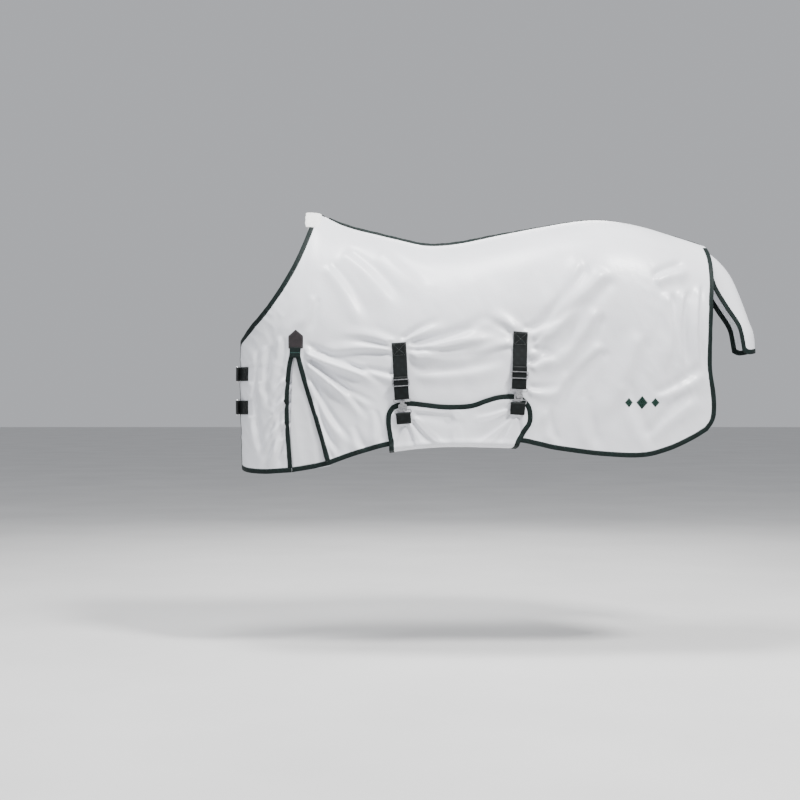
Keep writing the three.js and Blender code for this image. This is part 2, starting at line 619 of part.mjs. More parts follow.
for (const place of ["front", "rear"]) {
  const [anchorX, hookX, tabX] = STRAP_X[place];
  const anchor = [anchorX, STRAP_TOP[place]];
  const bar = [hookX, HOOK_BAR_Z[place]];
  const mid = EYE_LEVEL + HOOK_RISE;
  const levels = { start: ON_CLOTH + WEB / 2, back: mid - LOOP, front: mid + LOOP };
  add(`surcingle_strap_${place}`, looped(body[LEFT], anchor, bar, 75, levels), "webbing");
  const share = (SLIDE_Z[place] - anchor[1]) / (bar[1] - anchor[1]);
  const slideAt = line(anchor, bar)(share);
  add(`surcingle_slide_${place}`, slideSolid(), "nickel", frameOn(body[LEFT], slideAt, mid, bar));
  const foot = [tabX, TAB_FOOT[place]];
  const hookFrame = frameOn(body[LEFT], bar, mid, foot);
  add(`belly_hook_${place}`, hookSolid(), "nickel", hookFrame);
  const eyeFrame = hookFrame.clone().multiply(new THREE.Matrix4().makeTranslation(0, 0, -HOOK_RISE));
  add(`belly_eye_${place}`, eyeSolid(), "nickel", eyeFrame);
  const eyeBar = line(bar, foot)(EYE_REACH / Math.hypot(foot[0] - bar[0], foot[1] - bar[1]));
  const tabLevels = { start: EYE_LEVEL - LOOP, back: EYE_LEVEL - LOOP, front: EYE_LEVEL + LOOP };
  add(`belly_tab_${place}`, looped(body[LEFT], foot, eyeBar, 34, tabLevels, { turns: 4 }), "webbing");
}

for (const [place, z] of Object.entries(CHEST_STRAP_Z)) {
  const mid = CHEST_EYE_LEVEL + HOOK_RISE;
  const anchor = [-150, z];
  const bar = [-322, z];
  const levels = { start: ON_CLOTH + WEB / 2, back: mid - LOOP, front: mid + LOOP };
  add(`chest_strap_${place}`, looped(body[RIGHT], anchor, bar, 80, levels), "webbing");
  add(`chest_slide_${place}`, slideSolid(), "nickel", frameOn(body[RIGHT], [-272, z], mid, bar));
  const barAt = body[RIGHT](bar[0], z, mid);
  const basis = [[0, 0, -1], [0, -1, 0], [-1, 0, 0]].map((v) => new THREE.Vector3(...v));
  const hookFrame = new THREE.Matrix4().makeBasis(...basis).setPosition(barAt);
  add(`chest_hook_${place}`, hookSolid(), "nickel", hookFrame);
  const eyeFrame = hookFrame.clone().multiply(new THREE.Matrix4().makeTranslation(0, 0, -HOOK_RISE));
  add(`chest_eye_${place}`, eyeSolid(), "nickel", eyeFrame);
  // The station and level of the eye's bar over the left panel.
  const eyeBar = new THREE.Vector3(0, EYE_REACH, 0).applyMatrix4(eyeFrame);
  const round = line([WRAP, z], [-350, z]);
  let level = CHEST_EYE_LEVEL;
  let eyeAt = [];
  for (let i = 0; i < 4; i++) {
    eyeAt = round(shareAt(round, ([s]) => -body[LEFT](s, z, level).y, -eyeBar.y));
    level += body[LEFT](...eyeAt, level).x - eyeBar.x;
  }
  const tabLevels = { start: ON_CLOTH + WEB / 2, back: level - LOOP, front: level + LOOP };
  add(`chest_tab_${place}`, looped(body[LEFT], [-225, z], eyeAt, 50, tabLevels), "webbing");
}

export default sheet;
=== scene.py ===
"""A horse's fly sheet: cloth, bindings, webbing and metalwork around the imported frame.

Lengths are worked out in millimetres, as the frame was designed, and put in the scene in metres.
+X runs from the withers to the tail, +Z is up, and the horse's left side is at -Y.
"""
import math
from functools import partial

import bmesh
import bpy
import numpy as np
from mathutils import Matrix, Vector, noise


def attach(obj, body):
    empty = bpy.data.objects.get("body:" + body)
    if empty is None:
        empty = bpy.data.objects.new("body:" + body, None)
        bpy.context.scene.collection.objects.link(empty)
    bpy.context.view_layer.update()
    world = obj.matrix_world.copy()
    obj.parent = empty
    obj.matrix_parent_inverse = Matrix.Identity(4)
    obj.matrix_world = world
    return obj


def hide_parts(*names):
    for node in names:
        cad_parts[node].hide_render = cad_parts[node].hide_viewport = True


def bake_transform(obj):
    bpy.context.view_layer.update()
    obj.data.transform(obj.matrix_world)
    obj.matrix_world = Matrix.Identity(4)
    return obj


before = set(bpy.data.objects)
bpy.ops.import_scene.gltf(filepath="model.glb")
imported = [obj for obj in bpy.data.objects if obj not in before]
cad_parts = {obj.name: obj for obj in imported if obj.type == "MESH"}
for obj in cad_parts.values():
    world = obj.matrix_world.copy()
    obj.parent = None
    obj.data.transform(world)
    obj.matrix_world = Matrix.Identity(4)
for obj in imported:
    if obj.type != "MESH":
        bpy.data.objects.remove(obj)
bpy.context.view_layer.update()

MM = 0.001
LEFT = -1
RIGHT = 1
SIDES = {"left": LEFT, "right": RIGHT}

# ------------------------------------------------------------------ camera
CAMERA_DISTANCE = 5.5
CAMERA_X = 0.323
CAMERA_Z = -0.668
FRAME_WIDTH = 2.92  # metres across the picture at the sheet's centre line
FLOOR_Z = -1.575


def linked(name, data):
    made = bpy.data.objects.new(name, data)
    bpy.context.scene.collection.objects.link(made)
    return made


camera = linked("camera", bpy.data.cameras.new("camera"))
camera.location = (CAMERA_X, -CAMERA_DISTANCE, CAMERA_Z)
camera.rotation_euler = (math.pi / 2, 0, 0)
camera.data.sensor_width = 36
camera.data.lens = 36 * CAMERA_DISTANCE / FRAME_WIDTH
camera.data.clip_end = 60
bpy.context.scene.camera = camera


# ------------------------------------------------------------------ curves
def profile(points):
    """A smooth curve through [x, value] pairs, held level beyond its ends."""
    xs, ys = np.array(points, float).T
    before = np.maximum(np.arange(len(xs)) - 1, 0)
    after = np.minimum(np.arange(len(xs)) + 1, len(xs) - 1)
    slopes = (ys[after] - ys[before]) / (xs[after] - xs[before])

    def value(x):
        x = np.clip(np.asarray(x, float), xs[0], xs[-1])
        i = np.clip(np.searchsorted(xs, x, side="right") - 1, 0, len(xs) - 2)
        h = xs[i + 1] - xs[i]
        t = (x - xs[i]) / h
        rise = (1 - t) ** 2 * t * slopes[i] * h - t ** 2 * (1 - t) * slopes[i + 1] * h
        return ys[i] * (1 + 2 * t) * (1 - t) ** 2 + ys[i + 1] * t ** 2 * (3 - 2 * t) + rise

    return value


def run_of(points):
    """Length along a row of points, from its first one."""
    return np.concatenate([[0], np.cumsum(np.linalg.norm(np.diff(points, axis=0), axis=1))])


def route(points, fine=40):
    """A smooth curve through points, evenly by length: t from 0 to 1 gives points."""
    p = np.array(points, float)
    p = np.vstack([p[:1], p, p[-1:]])
    made = []
    for i in range(1, len(p) - 2):
        t = np.linspace(0, 1, fine, endpoint=False)[:, None]
        v0 = (p[i + 1] - p[i - 1]) / 2
        v1 = (p[i + 2] - p[i]) / 2
        turn = 2 * (p[i] - p[i + 1]) + v0 + v1
        made.append(turn * t ** 3 + (3 * (p[i + 1] - p[i]) - 2 * v0 - v1) * t ** 2 + v0 * t + p[i])
    made = np.vstack(made + [p[-1:]])
    share = run_of(made) / run_of(made)[-1]

    def value(t):
        t = np.clip(np.asarray(t, float), 0, 1)
        return np.stack([np.interp(t, share, made[:, k]) for k in range(made.shape[1])], -1)

    return value


def line(a, b):
    a, b = np.array(a, float), np.array(b, float)
    return lambda t: a + (b - a) * np.asarray(t, float)[..., None]


def part(curve, start, end):
    return lambda t: curve(start + (end - start) * np.asarray(t, float))


def reverse(curve):
    return part(curve, 1, 0)


def join(first, second, share):
    def value(t):
        t = np.asarray(t, float)
        early = first(np.clip(t / share, 0, 1))
        late = second(np.clip((t - share) / (1 - share), 0, 1))
        return np.where((t < share)[..., None], early, late)

    return value


def patch(top, bottom, front, rear):
    """The patch of a chart that four edges bound: (u, v) from (0, 0) at top and front to (1, 1)."""

    def value(u, v):
        u, v = np.asarray(u, float), np.asarray(v, float)
        uu, vv = u[..., None], v[..., None]
        across = (1 - vv) * top(u) + vv * bottom(u)
        down = (1 - uu) * front(v) + uu * rear(v)
        zero, one = np.zeros(()), np.ones(())
        upper = (1 - uu) * top(zero) + uu * top(one)
        lower = (1 - uu) * bottom(zero) + uu * bottom(one)
        return across + down - (1 - vv) * upper - vv * lower

    return value


# ------------------------------------------------------------------ the draped shape, as in the frame
CLOTH = 2.4
TAPE = 1.5
BINDING = 16  # width of the tape on each face
WEB = 1.9
WEB_WIDTH = 50
SLACK = 1.2  # between layers
SEAM = 0.25  # half the gap at the spine
ON_CLOTH = CLOTH + SLACK
ON_BINDING = CLOTH + TAPE + SLACK
FLAP = ON_BINDING + TAPE + 1.2
ON_FLAP = FLAP + CLOTH + SLACK
UNDER_BINDING = -TAPE - 1.5 * SLACK  # inside the tape
LOOP = 3.7  # radius of the webbing's middle round a bar
EYE_LEVEL = ON_FLAP + WEB / 2 + 0.3 + LOOP
CHEST_EYE_LEVEL = ON_BINDING + WEB / 2 + 6 + LOOP
HOOK_RISE = 3.5  # from the eye's bar to the hook's
SKIN = 1.2  # level of the finished cloth's middle within the frame's panels

ridge = profile([
    [-300, 60], [-120, 30], [-20, 10], [22, 8.6], [62, -8], [110, -31], [164, -49], [237, -67], [310, -85],
    [420, -108], [530, -102], [675, -73], [820, -45], [967, -21], [1060, -18], [1186, -37], [1332, -79],
    [1425, -108]])
breadth = profile([
    [-250, 186], [-100, 208], [0, 226], [150, 248], [300, 270], [450, 286], [600, 294], [750, 290],
    [900, 282], [1050, 280], [1200, 272], [1320, 250], [1420, 212]])
fall = profile([[-250, 440], [0, 440], [300, 420], [600, 400], [900, 340], [1150, 320], [1420, 330]])
fullness = profile([[-100, 1.35], [20, 1.35], [150, 1.5], [300, 1.8], [600, 2.0], [1000, 2.25], [1420, 1.9]])
chest = profile([
    [-930, -250], [-700, -256], [-440, -256], [-400, -267], [-350, -278], [-290, -288], [-100, -320],
    [100, -360]])
WRAP = 20  # station at which the sides start to turn in to the chest
WRAP_LENGTH = 370  # from there to the middle of the chest
WRAP_SQUARE = 0.87  # below 1 the turn is squarer than round
TUCK = 0.05  # how far the sides draw in below their widest
EDGE_S = -344  # station of the chest edge
SPINE_END = 1427


def on_body(side, s, z):
    """Points of the side chart [station, height] on the inner face of the frame's cloth."""
    s, z = np.asarray(s, float), np.asarray(z, float)
    turn = np.maximum(WRAP - s, 0) / WRAP_LENGTH * math.pi / 2
    x = np.where(s < WRAP, WRAP - (WRAP - chest(z)) * np.sin(turn), s)
    down = np.maximum(ridge(x) - z, 0) / fall(x)
    inside = np.clip(1 - (1 - np.minimum(down, 1)) ** 2, 0, 1)
    section = np.where(down < 1, inside ** (1 / fullness(x)), 1 - TUCK * (down - 1) ** 2)
    cosine = np.cos(turn)
    bend = np.sign(cosine) * np.abs(cosine) ** WRAP_SQUARE
    y = breadth(x) * section * bend + np.where(bend > 0, SEAM, -SEAM)
    return np.stack([x, side * y, np.minimum(z, ridge(x))], -1)


def normals(surface, a, b, outward, step=1.0):
    """Unit normals of a surface at points of its chart."""
    a, b = np.asarray(a, float), np.asarray(b, float)
    along_a = surface(a + step, b) - surface(a - step, b)
    along_b = surface(a, b + step) - surface(a, b - step)
    n = np.cross(along_a, along_b) * outward
    return n / np.maximum(np.linalg.norm(n, axis=-1, keepdims=True), 1e-9)


def station(x, z):
    """The station at which the sheet is at x along the horse, at height z."""
    reach = np.clip((WRAP - x) / (WRAP - chest(z)), 0, 1)
    return np.where(x >= WRAP, x, WRAP - np.arcsin(reach) / (math.pi / 2) * WRAP_LENGTH)


def placed(x, z):
    return [float(station(x, z)), float(z)]


def spine_at(x):
    return [x, float(ridge(x))]


# ------------------------------------------------------------------ folds of the cloth
# Each fold: from (x, z), to (x, z), half width, height, and where it is highest: 1 at its start, 0 at its
# end.
FOLDS_BOTH = [
    # from the anchor of the front surcingle strap
    ((322, -496), (0, -512), 15, 5.0, 1), ((320, -480), (95, -432), 16, 4.5, 1),
    ((325, -478), (500, -404), 16, 5.0, 1), ((335, -488), (655, -415), 18, 5.0, 1),
    ((338, -505), (690, -480), 15, 4.5, 1),
    # the sweep between the straps
    ((358, -530), (706, -455), 24, 6.0, 0.5), ((365, -585), (704, -545), 20, 4.0, 0.5),
    # fan from the top of the gusset
    ((-16, -500), (300, -655), 13, 6.5, 1), ((-14, -520), (262, -712), 12, 6.0, 1),
    ((-11, -540), (214, -760), 13, 6.0, 0.8), ((0, -590), (150, -838), 14, 5.5, 0.6),
    ((18, -660), (105, -884), 12, 4.5, 0.5), ((-20, -482), (250, -560), 15, 4.0, 0.9),
    # front panel
    ((-95, -440), (-150, -640), 14, 4.0, 0.6), ((-150, -470), (-170, -700), 16, 4.0, 0.5),
    ((-190, -480), (-185, -890), 14, 4.5, 0.3), ((-76, -590), (-140, -700), 9, 3.5, 0.8),
    ((-76, -660), (-160, -800), 10, 4.0, 0.8), ((-80, -740), (-170, -870), 11, 4.0, 0.6),
    ((-120, -700), (-130, -915), 13, 4.0, 0.2), ((-90, -800), (-150, -905), 9, 3.5, 0.5),
    # broad ones behind the front strap, at the top of the gusset and behind the rear strap
    ((352, -500), (700, -372), 22, 5.5, 0.9), ((352, -515), (640, -520), 18, 3.5, 0.9),
    ((-12, -508), (310, -590), 12, 5.5, 1), ((190, -560), (330, -600), 14, 4.5, 0.2),
    ((770, -470), (960, -240), 22, 5.5, 0.7), ((775, -500), (1010, -330), 20, 5.0, 0.8),
    ((768, -560), (930, -470), 20, 4.5, 0.8), ((762, -640), (900, -640), 18, 4.0, 0.8),
    # flank
    ((1050, -215), (815, -490), 34, 7.0, 0.5), ((1010, -345), (800, -605), 30, 7.0, 0.5),
    ((1030, -470), (815, -690), 28, 6.0, 0.5), ((960, -175), (770, -395), 30, 5.0, 0.5),
    ((1155, -425), (1000, -760), 34, 5.0, 0.5), ((905, -560), (765, -790), 24, 4.0, 0.4),
    # hip and rear
    ((1205, -258), (1345, -218), 20, 7.0, 0.4), ((1252, -290), (1240, -585), 20, 6.0, 0.6),
    ((1312, -280), (1305, -580), 18, 6.5, 0.6), ((1372, -255), (1376, -610), 14, 5.5, 0.5),
    ((1210, -665), (1405, -570), 22, 5.0, 0.3), ((1190, -815), (1390, -655), 24, 5.0, 0.3),
    ((1100, -600), (1180, -860), 26, 4.0, 0.3), ((960, -650), (980, -850), 24, 3.5, 0.2),
    # shoulder
    ((110, -140), (310, -365), 26, 4.5, 0.5), ((55, -190), (190, -430), 24, 4.0, 0.5),
    ((20, -300), (-30, -425), 18, 3.0, 0.5), ((250, -130), (420, -300), 30, 3.0, 0.5),
    # along the hem
    ((150, -760), (190, -860), 15, 4.0, 0.2), ((225, -700), (235, -838), 14, 4.0, 0.2),
    ((60, -800), (72, -890), 12, 3.5, 0.2), ((830, -700), (850, -830), 16, 4.0, 0.2),
]
FOLDS_LEFT = [
    # from the anchor of the rear surcingle strap
    ((742, -440), (600, -350), 18, 3.5, 1), ((745, -440), (900, -395), 18, 3.5, 1),
    ((722, -470), (560, -520), 16, 3.0, 1), ((765, -500), (880, -560), 18, 3.0, 1),
]
FOLD_GAIN = 2.1
PRESSED = ((319, -495, 46), (740, -458, 46), (-42, -455, 44))  # x, z and radius of what holds the cloth flat
DEEPEST, HIGHEST = -12, 17  # the limits of the folds


def fold_heights(x, z, folds):
    """Heights of folds: a steep and a gentle flank, and a trough beside the crest."""
    height = np.zeros(np.broadcast(x, z).shape)
    for (x0, z0), (x1, z1), width, top, lead in folds:
        dx, dz = x1 - x0, z1 - z0
        length = math.hypot(dx, dz)
        t = ((x - x0) * dx + (z - z0) * dz) / length ** 2
        bow = 0.05 * length * np.sin(np.pi * np.clip(t, 0, 1)) * (1 if (x0 + z1) % 2 < 1 else -1)
        off = (-(x - x0) * dz + (z - z0) * dx) / length + bow
        wide = width * (0.75 + 0.5 * np.clip(t, 0, 1))
        fade = np.clip(t / 0.12, 0, 1) * np.clip((1 - t) / 0.3, 0, 1)
        fade = fade * fade * (3 - 2 * fade) * (lead * (1 - t) + (1 - lead) * t) * 1.6
        q = off / wide
        ridge_line = np.where(q > 0, np.exp(-(q / 0.72) ** 2), np.exp(-(q / 1.25) ** 2))
        crest = ridge_line - 0.8 * np.exp(-((q - 1.35) / 0.75) ** 2) - 0.2 * np.exp(-((q + 2.0) / 1.3) ** 2)
        height += np.where((t > 0) & (t < 1), FOLD_GAIN * top * fade * crest, 0)
    return height


def noise_field(x, z, side, size, seed):
    """Smooth noise from -1 to 1 over the side view."""
    flat = [
        noise.noise(Vector((a / size, b / size, seed + 7.3 * side)))
        for a, b in zip(np.ravel(x), np.ravel(z))
    ]
    return np.array(flat).reshape(np.shape(x))


def relief(side, x, z):
    """How far the cloth stands out from the frame's panels, in millimetres."""
    x, z = np.broadcast_arrays(np.asarray(x, float), np.asarray(z, float))
    folds = FOLDS_BOTH + (FOLDS_LEFT if side == LEFT else [])
    height = fold_heights(x, z, folds)
    depth = ridge(x) - z
    loose = np.clip((depth - 60) / 160, 0, 1)
    height = height + loose * 3.2 * noise_field(x, z * 0.7, side, 210, 3.1)
    height = height + loose * 1.6 * noise_field(x * 1.3 + z * 0.5, z * 0.6, side, 70, 9.4)
    # crinkles, deepest on the front panels and towards the rear edge
    slackest = np.clip((-40 - x) / 60, 0, 1) + 0.55 * np.clip((x - 1080) / 160, 0, 1) + 0.2
    crinkle = np.abs(noise_field(x * 1.6 + z * 0.9, z * 0.8 - x * 0.5, side, 58, 4.7))
    height = height + loose * slackest * (3.4 * (0.35 - crinkle))
    # held flat under the straps' anchors, the patch and at the spine
    for px, pz, radius in PRESSED:
        if side == RIGHT and px > 0:
            continue
        near = np.clip(np.hypot(x - px, (z - pz) * 0.9) / radius, 0, 1)
        height = height * near ** 2
    height = height * np.clip(depth / 90, 0, 1)
    if side == LEFT:
        # pressed in behind the belly flap
        inside = np.clip((x - 265) / 30, 0, 1) * np.clip((800 - x) / 30, 0, 1)
        inside = inside * np.clip((-640 - z) / 30, 0, 1)
        height = height * (1 - inside) - inside
    height = np.minimum(height, under_webbing(side, x, z))
    return np.clip(height, DEEPEST, HIGHEST)


def under_webbing(side, x, z):
    """The highest that the cloth may stand where webbing lies on it."""
    room = np.full(x.shape, 99.0)
    belts = ((319, 332, -469, -640), (740, 732, -432, -610)) if side == LEFT else ()
    for top_x, foot_x, top_z, foot_z in belts:
        share = np.clip((top_z - z) / (top_z - foot_z), 0, 1)
        away = np.maximum(np.abs(x - top_x - (foot_x - top_x) * share) - 27, 0)
        beyond = np.maximum(np.maximum(z - top_z, foot_z - z), 0)
        room = np.minimum(room, 1.4 + 9 * share + 0.45 * (away + beyond))
    for strap_z in (-575, -695):
        away = np.maximum(np.abs(z - strap_z) - 27, 0) + np.maximum(x + 135, 0)
        room = np.minimum(room, 1.4 + 0.45 * away)
    return room


def body_point(side, a, b, level):
    """Points of the side chart at a level above the frame's cloth."""
    n = normals(partial(on_body, side), a, b, -side)
    return on_body(side, a, b) + n * np.asarray(level, float)[..., None]


def cloth_point(side, a, b, level=SKIN):
    """Points of the side chart at a level above the finished, folded cloth."""
    base = on_body(side, a, b)
    return body_point(side, a, b, level + relief(side, base[..., 0], base[..., 2]))


# ------------------------------------------------------------------ outlines, as in the frame
neck = route([
    placed(0, float(ridge(0))), placed(-2, -49), placed(-37, -151), placed(-72, -224), placed(-116, -296),
    placed(-168, -362), placed(-218, -415), [-300, -455], [EDGE_S, -468]])
chest_edge = line([EDGE_S, -468], [EDGE_S, -915])
hem_front = route([
    [EDGE_S, -915], [-250, -926], placed(-160, -929), placed(-92.5, -924), placed(-57, -921)])
slit_front = route([placed(x, z) for x, z in (
    (-46, -498), (-60, -556), (-68, -660), (-68, -763), (-61, -846), (-57, -921))])
slit_rear = route([placed(x, z) for x, z in (
    (-46, -498), (-24, -580), (-1, -660), (27, -749), (51, -832), (68, -897))])
rear_edge = route([
    spine_at(SPINE_END), [1434, -166], [1431, -251], [1424, -319], [1417, -450], [1416, -554], [1430, -645],
    [1432, -710], [1424, -745], [1402, -775]])
hem = route([
    [68, -897], [145, -868], [214, -846], [282, -828], [400, -812], [520, -806], [640, -808], [742, -814],
    [805, -827], [875, -842], [1035, -862], [1170, -866], [1263, -844], [1346, -807], [1402, -775]])
insert_hem = route([placed(-70, -922), placed(-57, -921), placed(8, -910), [68, -897], [80, -893]])


def share_where(curve, measure, value):
    """The share of a curve at which a measure that falls along it reaches a value."""
    t = np.linspace(0, 1, 2001)
    m = measure(curve(t))
    return float(t[np.argmax(m <= value)])


# ------------------------------------------------------------------ meshes
def new_object(name, points, faces, uvs=None):
    """A smooth mesh object from points in millimetres. uvs are in metres, one for each point."""
    mesh = bpy.data.meshes.new(name)
    mesh.from_pydata([tuple(p) for p in np.asarray(points) * MM], [], [tuple(map(int, f)) for f in faces])
    if uvs is not None:
        layer = mesh.uv_layers.new(name="uv")
        index = np.empty(len(mesh.loops), dtype=np.int32)
        mesh.loops.foreach_get("vertex_index", index)
        layer.data.foreach_set("uv", np.asarray(uvs, float)[index].ravel())
    mesh.update()
    mesh.polygons.foreach_set("use_smooth", [True] * len(mesh.polygons))
    return linked(name, mesh)


def from_bmesh(name, bm):
    mesh = bpy.data.meshes.new(name)
    bm.to_mesh(mesh)
    bm.free()
    return linked(name, mesh)


def join_objects(name, objects):
    bm = bmesh.new()
    for o in objects:
        bm.from_mesh(o.data)
        bpy.data.objects.remove(o)
    return from_bmesh(name, bm)


def face_outward(made):
    bm = bmesh.new()
    bm.from_mesh(made.data)
    bmesh.ops.recalc_face_normals(bm, faces=bm.faces)
    bm.to_mesh(made.data)
    bm.free()


def grid_faces(rows, columns, closed=False):
    """Quads of a grid of rows x columns points, row by row."""
    faces = []
    for i in range(rows - 1):
        for j in range(columns if closed else columns - 1):
            k = (j + 1) % columns
            faces.append((i * columns + j, i * columns + k, (i + 1) * columns + k, (i + 1) * columns + j))
    return faces


def grid_uv(points):
    """Lengths in metres along a grid's rows and columns, as [row, column, uv]."""
    along, down = np.zeros(points.shape[:2]), np.zeros(points.shape[:2])
    along[:, 1:] = np.cumsum(np.linalg.norm(np.diff(points, axis=1), axis=-1), axis=1)
    down[1:, :] = np.cumsum(np.linalg.norm(np.diff(points, axis=0), axis=-1), axis=0)
    return np.stack([along, down], -1) * MM


def grid_piece(name, points):
    """A thin piece of cloth through a grid of points."""
    faces = grid_faces(*points.shape[:2])
    return new_object(name, points.reshape(-1, 3), faces, grid_uv(points).reshape(-1, 2))


def thicken(made, thickness):
    """Gives a piece of cloth its thickness, half of it to each side."""
    solid = made.modifiers.new("thickness", "SOLIDIFY")
    solid.thickness = thickness * MM
    solid.offset = 0
    depsgraph = bpy.context.evaluated_depsgraph_get()
    mesh = bpy.data.meshes.new_from_object(
        made.evaluated_get(depsgraph), preserve_all_data_layers=True, depsgraph=depsgraph)
    made.modifiers.clear()
    made.data = mesh


def sweep(name, sections):
    """A closed body through rings of points: sections is [step, ring point, xyz]."""
    steps, ring = sections.shape[:2]
    faces = grid_faces(steps, ring, closed=True)
    faces += [tuple(reversed(range(ring))), tuple(range((steps - 1) * ring, steps * ring))]
    run = run_of(sections.mean(axis=1))
    around = run_of(sections[0])
    uv = np.stack(np.broadcast_arrays(run[:, None], around[None, :]), -1).reshape(-1, 2) * MM
    made = new_object(name, sections.reshape(-1, 3), faces, uv)
    face_outward(made)
    return made


# ------------------------------------------------------------------ cloth panels
PARTING_SHARE = 0.44  # of each panel's rows, those above the top of the slit
ROWS = 150
NECK_SHARE = 0.06  # of the body panel's columns, those that start on the neck edge
NECK_COLUMNS = 20
SPINE_COLUMNS = 250
FRONT_COLUMNS = 64
SPLIT_X = -60  # where the front panel's neck edge starts
CLOTH_THICKNESS = 0.9
WELD = 0.04 * MM  # the panels' shared points are this close

parting_rows = round(PARTING_SHARE * ROWS)
share = parting_rows / ROWS
split = share_where(neck, lambda p: on_body(LEFT, p[..., 0], p[..., 1])[..., 0], SPLIT_X)
parting = line(neck(np.array(split)), slit_front(np.array(0.0)))


def spine_line(t):
    x = WRAP + (SPINE_END - WRAP) * np.asarray(t, float)
    return np.stack([x, ridge(x)], -1)


body_top = join(reverse(part(neck, 0, split)), spine_line, NECK_SHARE)
body_area = patch(body_top, hem, join(parting, slit_rear, share), rear_edge)
front_area = patch(reverse(part(neck, split, 1)), hem_front, chest_edge, join(parting, slit_front, share))


def panel(side, area, columns):
    """A panel as a grid of points, whose rows run along the horse."""
    rows = np.concatenate([
        share * np.linspace(0, 1, parting_rows + 1) ** 1.6,
        share + (1 - share) * np.linspace(0, 1, ROWS - parting_rows + 1)[1:]])
    ab = area(*np.meshgrid(columns, rows))
    return cloth_point(side, ab[..., 0], ab[..., 1])


def cloth_side(side_name, side):
    """One side's cloth: body and front in one piece, joined above the slit."""
    columns = np.concatenate([
        np.linspace(0, NECK_SHARE, NECK_COLUMNS + 1)[:-1],
        NECK_SHARE + (1 - NECK_SHARE) * np.linspace(0, 1, SPINE_COLUMNS + 1)])
    rear = panel(side, body_area, columns)
    front = panel(side, front_area, np.linspace(0, 1, FRONT_COLUMNS + 1))
    front_uv = grid_uv(front)
    front_uv[..., 0] -= front_uv[..., -1:, 0]
    bm = bmesh.new()
    layer = bm.loops.layers.uv.new("uv")
    for points, uv in ((rear, grid_uv(rear)), (front, front_uv)):
        verts = [bm.verts.new(p) for p in points.reshape(-1, 3) * MM]
        flat_uv = uv.reshape(-1, 2)
        for face in grid_faces(*points.shape[:2]):
            made = bm.faces.new([verts[i] for i in face])
            made.smooth = True
            for loop, i in zip(made.loops, face):
                loop[layer].uv = flat_uv[i]
    bmesh.ops.remove_doubles(bm, verts=bm.verts, dist=WELD)
    bmesh.ops.recalc_face_normals(bm, faces=bm.faces)
    return from_bmesh(f"sheet_cloth_{side_name}", bm)


# ------------------------------------------------------------------ bindings
def binding_ring():
    """The outline of a folded tape over an edge: (distance in from the edge, level)."""
    top, low = SKIN + 1.9, SKIN - 1.9
    turns = np.linspace(math.pi / 2, -math.pi / 2, 7)[1:-1]
    return [
        (BINDING, SKIN + 0.55), (BINDING - 0.5, top - 0.5), (BINDING - 2.2, top), (BINDING / 2, top + 0.25),
        (2.0, top), *((-1.6 * math.cos(a), SKIN + 1.9 * math.sin(a)) for a in turns), (2.0, low),
        (BINDING / 2, low - 0.1), (BINDING - 2.2, low), (BINDING - 0.5, low + 0.5), (BINDING, SKIN - 0.55)]


def edge_frame(surface, edge, t):
    """Points of an edge, and the steps in its chart that go 1 mm in from it, for each t."""
    ab = edge(t)
    step = 0.004
    ahead, behind = edge(np.minimum(t + step, 1)), edge(np.maximum(t - step, 0))
    a, b = ab[..., 0], ab[..., 1]
    unit_a = np.linalg.norm(surface(a + 1, b) - surface(a - 1, b), axis=-1) / 2
    unit_b = np.linalg.norm(surface(a, b + 1) - surface(a, b - 1), axis=-1) / 2
    direction = (ahead - behind) * np.stack([unit_a, unit_b], -1)
    direction /= np.linalg.norm(direction, axis=-1, keepdims=True)
    return a, b, -direction[:, 1] / unit_a, direction[:, 0] / unit_b


def bind(name, edge, inward, steps, seed, over, surface):
    """A tape folded over an edge, and its stitches. over(a, b, level) gives points above the cloth."""
    a, b, step_a, step_b = edge_frame(surface, edge, np.linspace(0, 1, steps + 1))
    count = np.arange(steps + 1)
    pucker = 0.35 * np.sin(count * 1.9 + seed) + 0.25 * np.sin(count * 0.77 + 2 * seed)

    def beside(d, level):
        return over(a + inward * step_a * d, b + inward * step_b * d, level)

    sections = [beside(d + 0.3 * pucker * (d > 6), level + 0.35 * pucker * (level > SKIN))
                for d, level in binding_ring()]
    tape = sweep(name, np.stack(sections, 1))
    row, above = (beside(BINDING - 2.6, SKIN + rise + 0.35 * pucker) for rise in (2.0, 4.0))
    return tape, stitch_row(f"{name}_stitches", row, above - row)


# ------------------------------------------------------------------ stitches
STITCH_ENDS = ((0.0, 0.25), (0.2, 0.9), (0.5, 1.0), (0.8, 0.9), (1.0, 0.25))  # share of length, of height


def stitch_row(name, row, out, pitch=5.0, length=3.4, width=0.75):
    """Short thread stitches along a row of points, standing a little out of it."""
    run = run_of(row)
    starts = np.arange(max(int(run[-1] / pitch), 1)) * pitch + (pitch - length) / 2
    out = out / np.linalg.norm(out, axis=1, keepdims=True)

    def at(values, s):
        return np.stack([np.interp(s, run, values[:, k]) for k in range(3)], -1)

    points, faces = [], []
    for s in starts:
        base = len(points)
        for share_along, rise in STITCH_ENDS:
            here = s + share_along * length
            p, n = at(row, here), at(out, here)
            along = at(row, here + 0.5) - p
            along /= max(np.linalg.norm(along), 1e-9)
            across = np.cross(along, n) * width / 2 * (0.5 + 0.5 * rise)
            points += [p - across, p + n * (0.55 * rise * width), p + across]
        for i in range(base, base + 3 * len(STITCH_ENDS) - 3, 3):
            faces += [(i, i + 1, i + 4, i + 3), (i + 1, i + 2, i + 5, i + 4), (i + 2, i, i + 3, i + 5)]
        last = len(points) - 3
        faces += [(base + 2, base + 1, base), (last, last + 1, last + 2)]
    made = new_object(name, points, faces)
    face_outward(made)
    return made


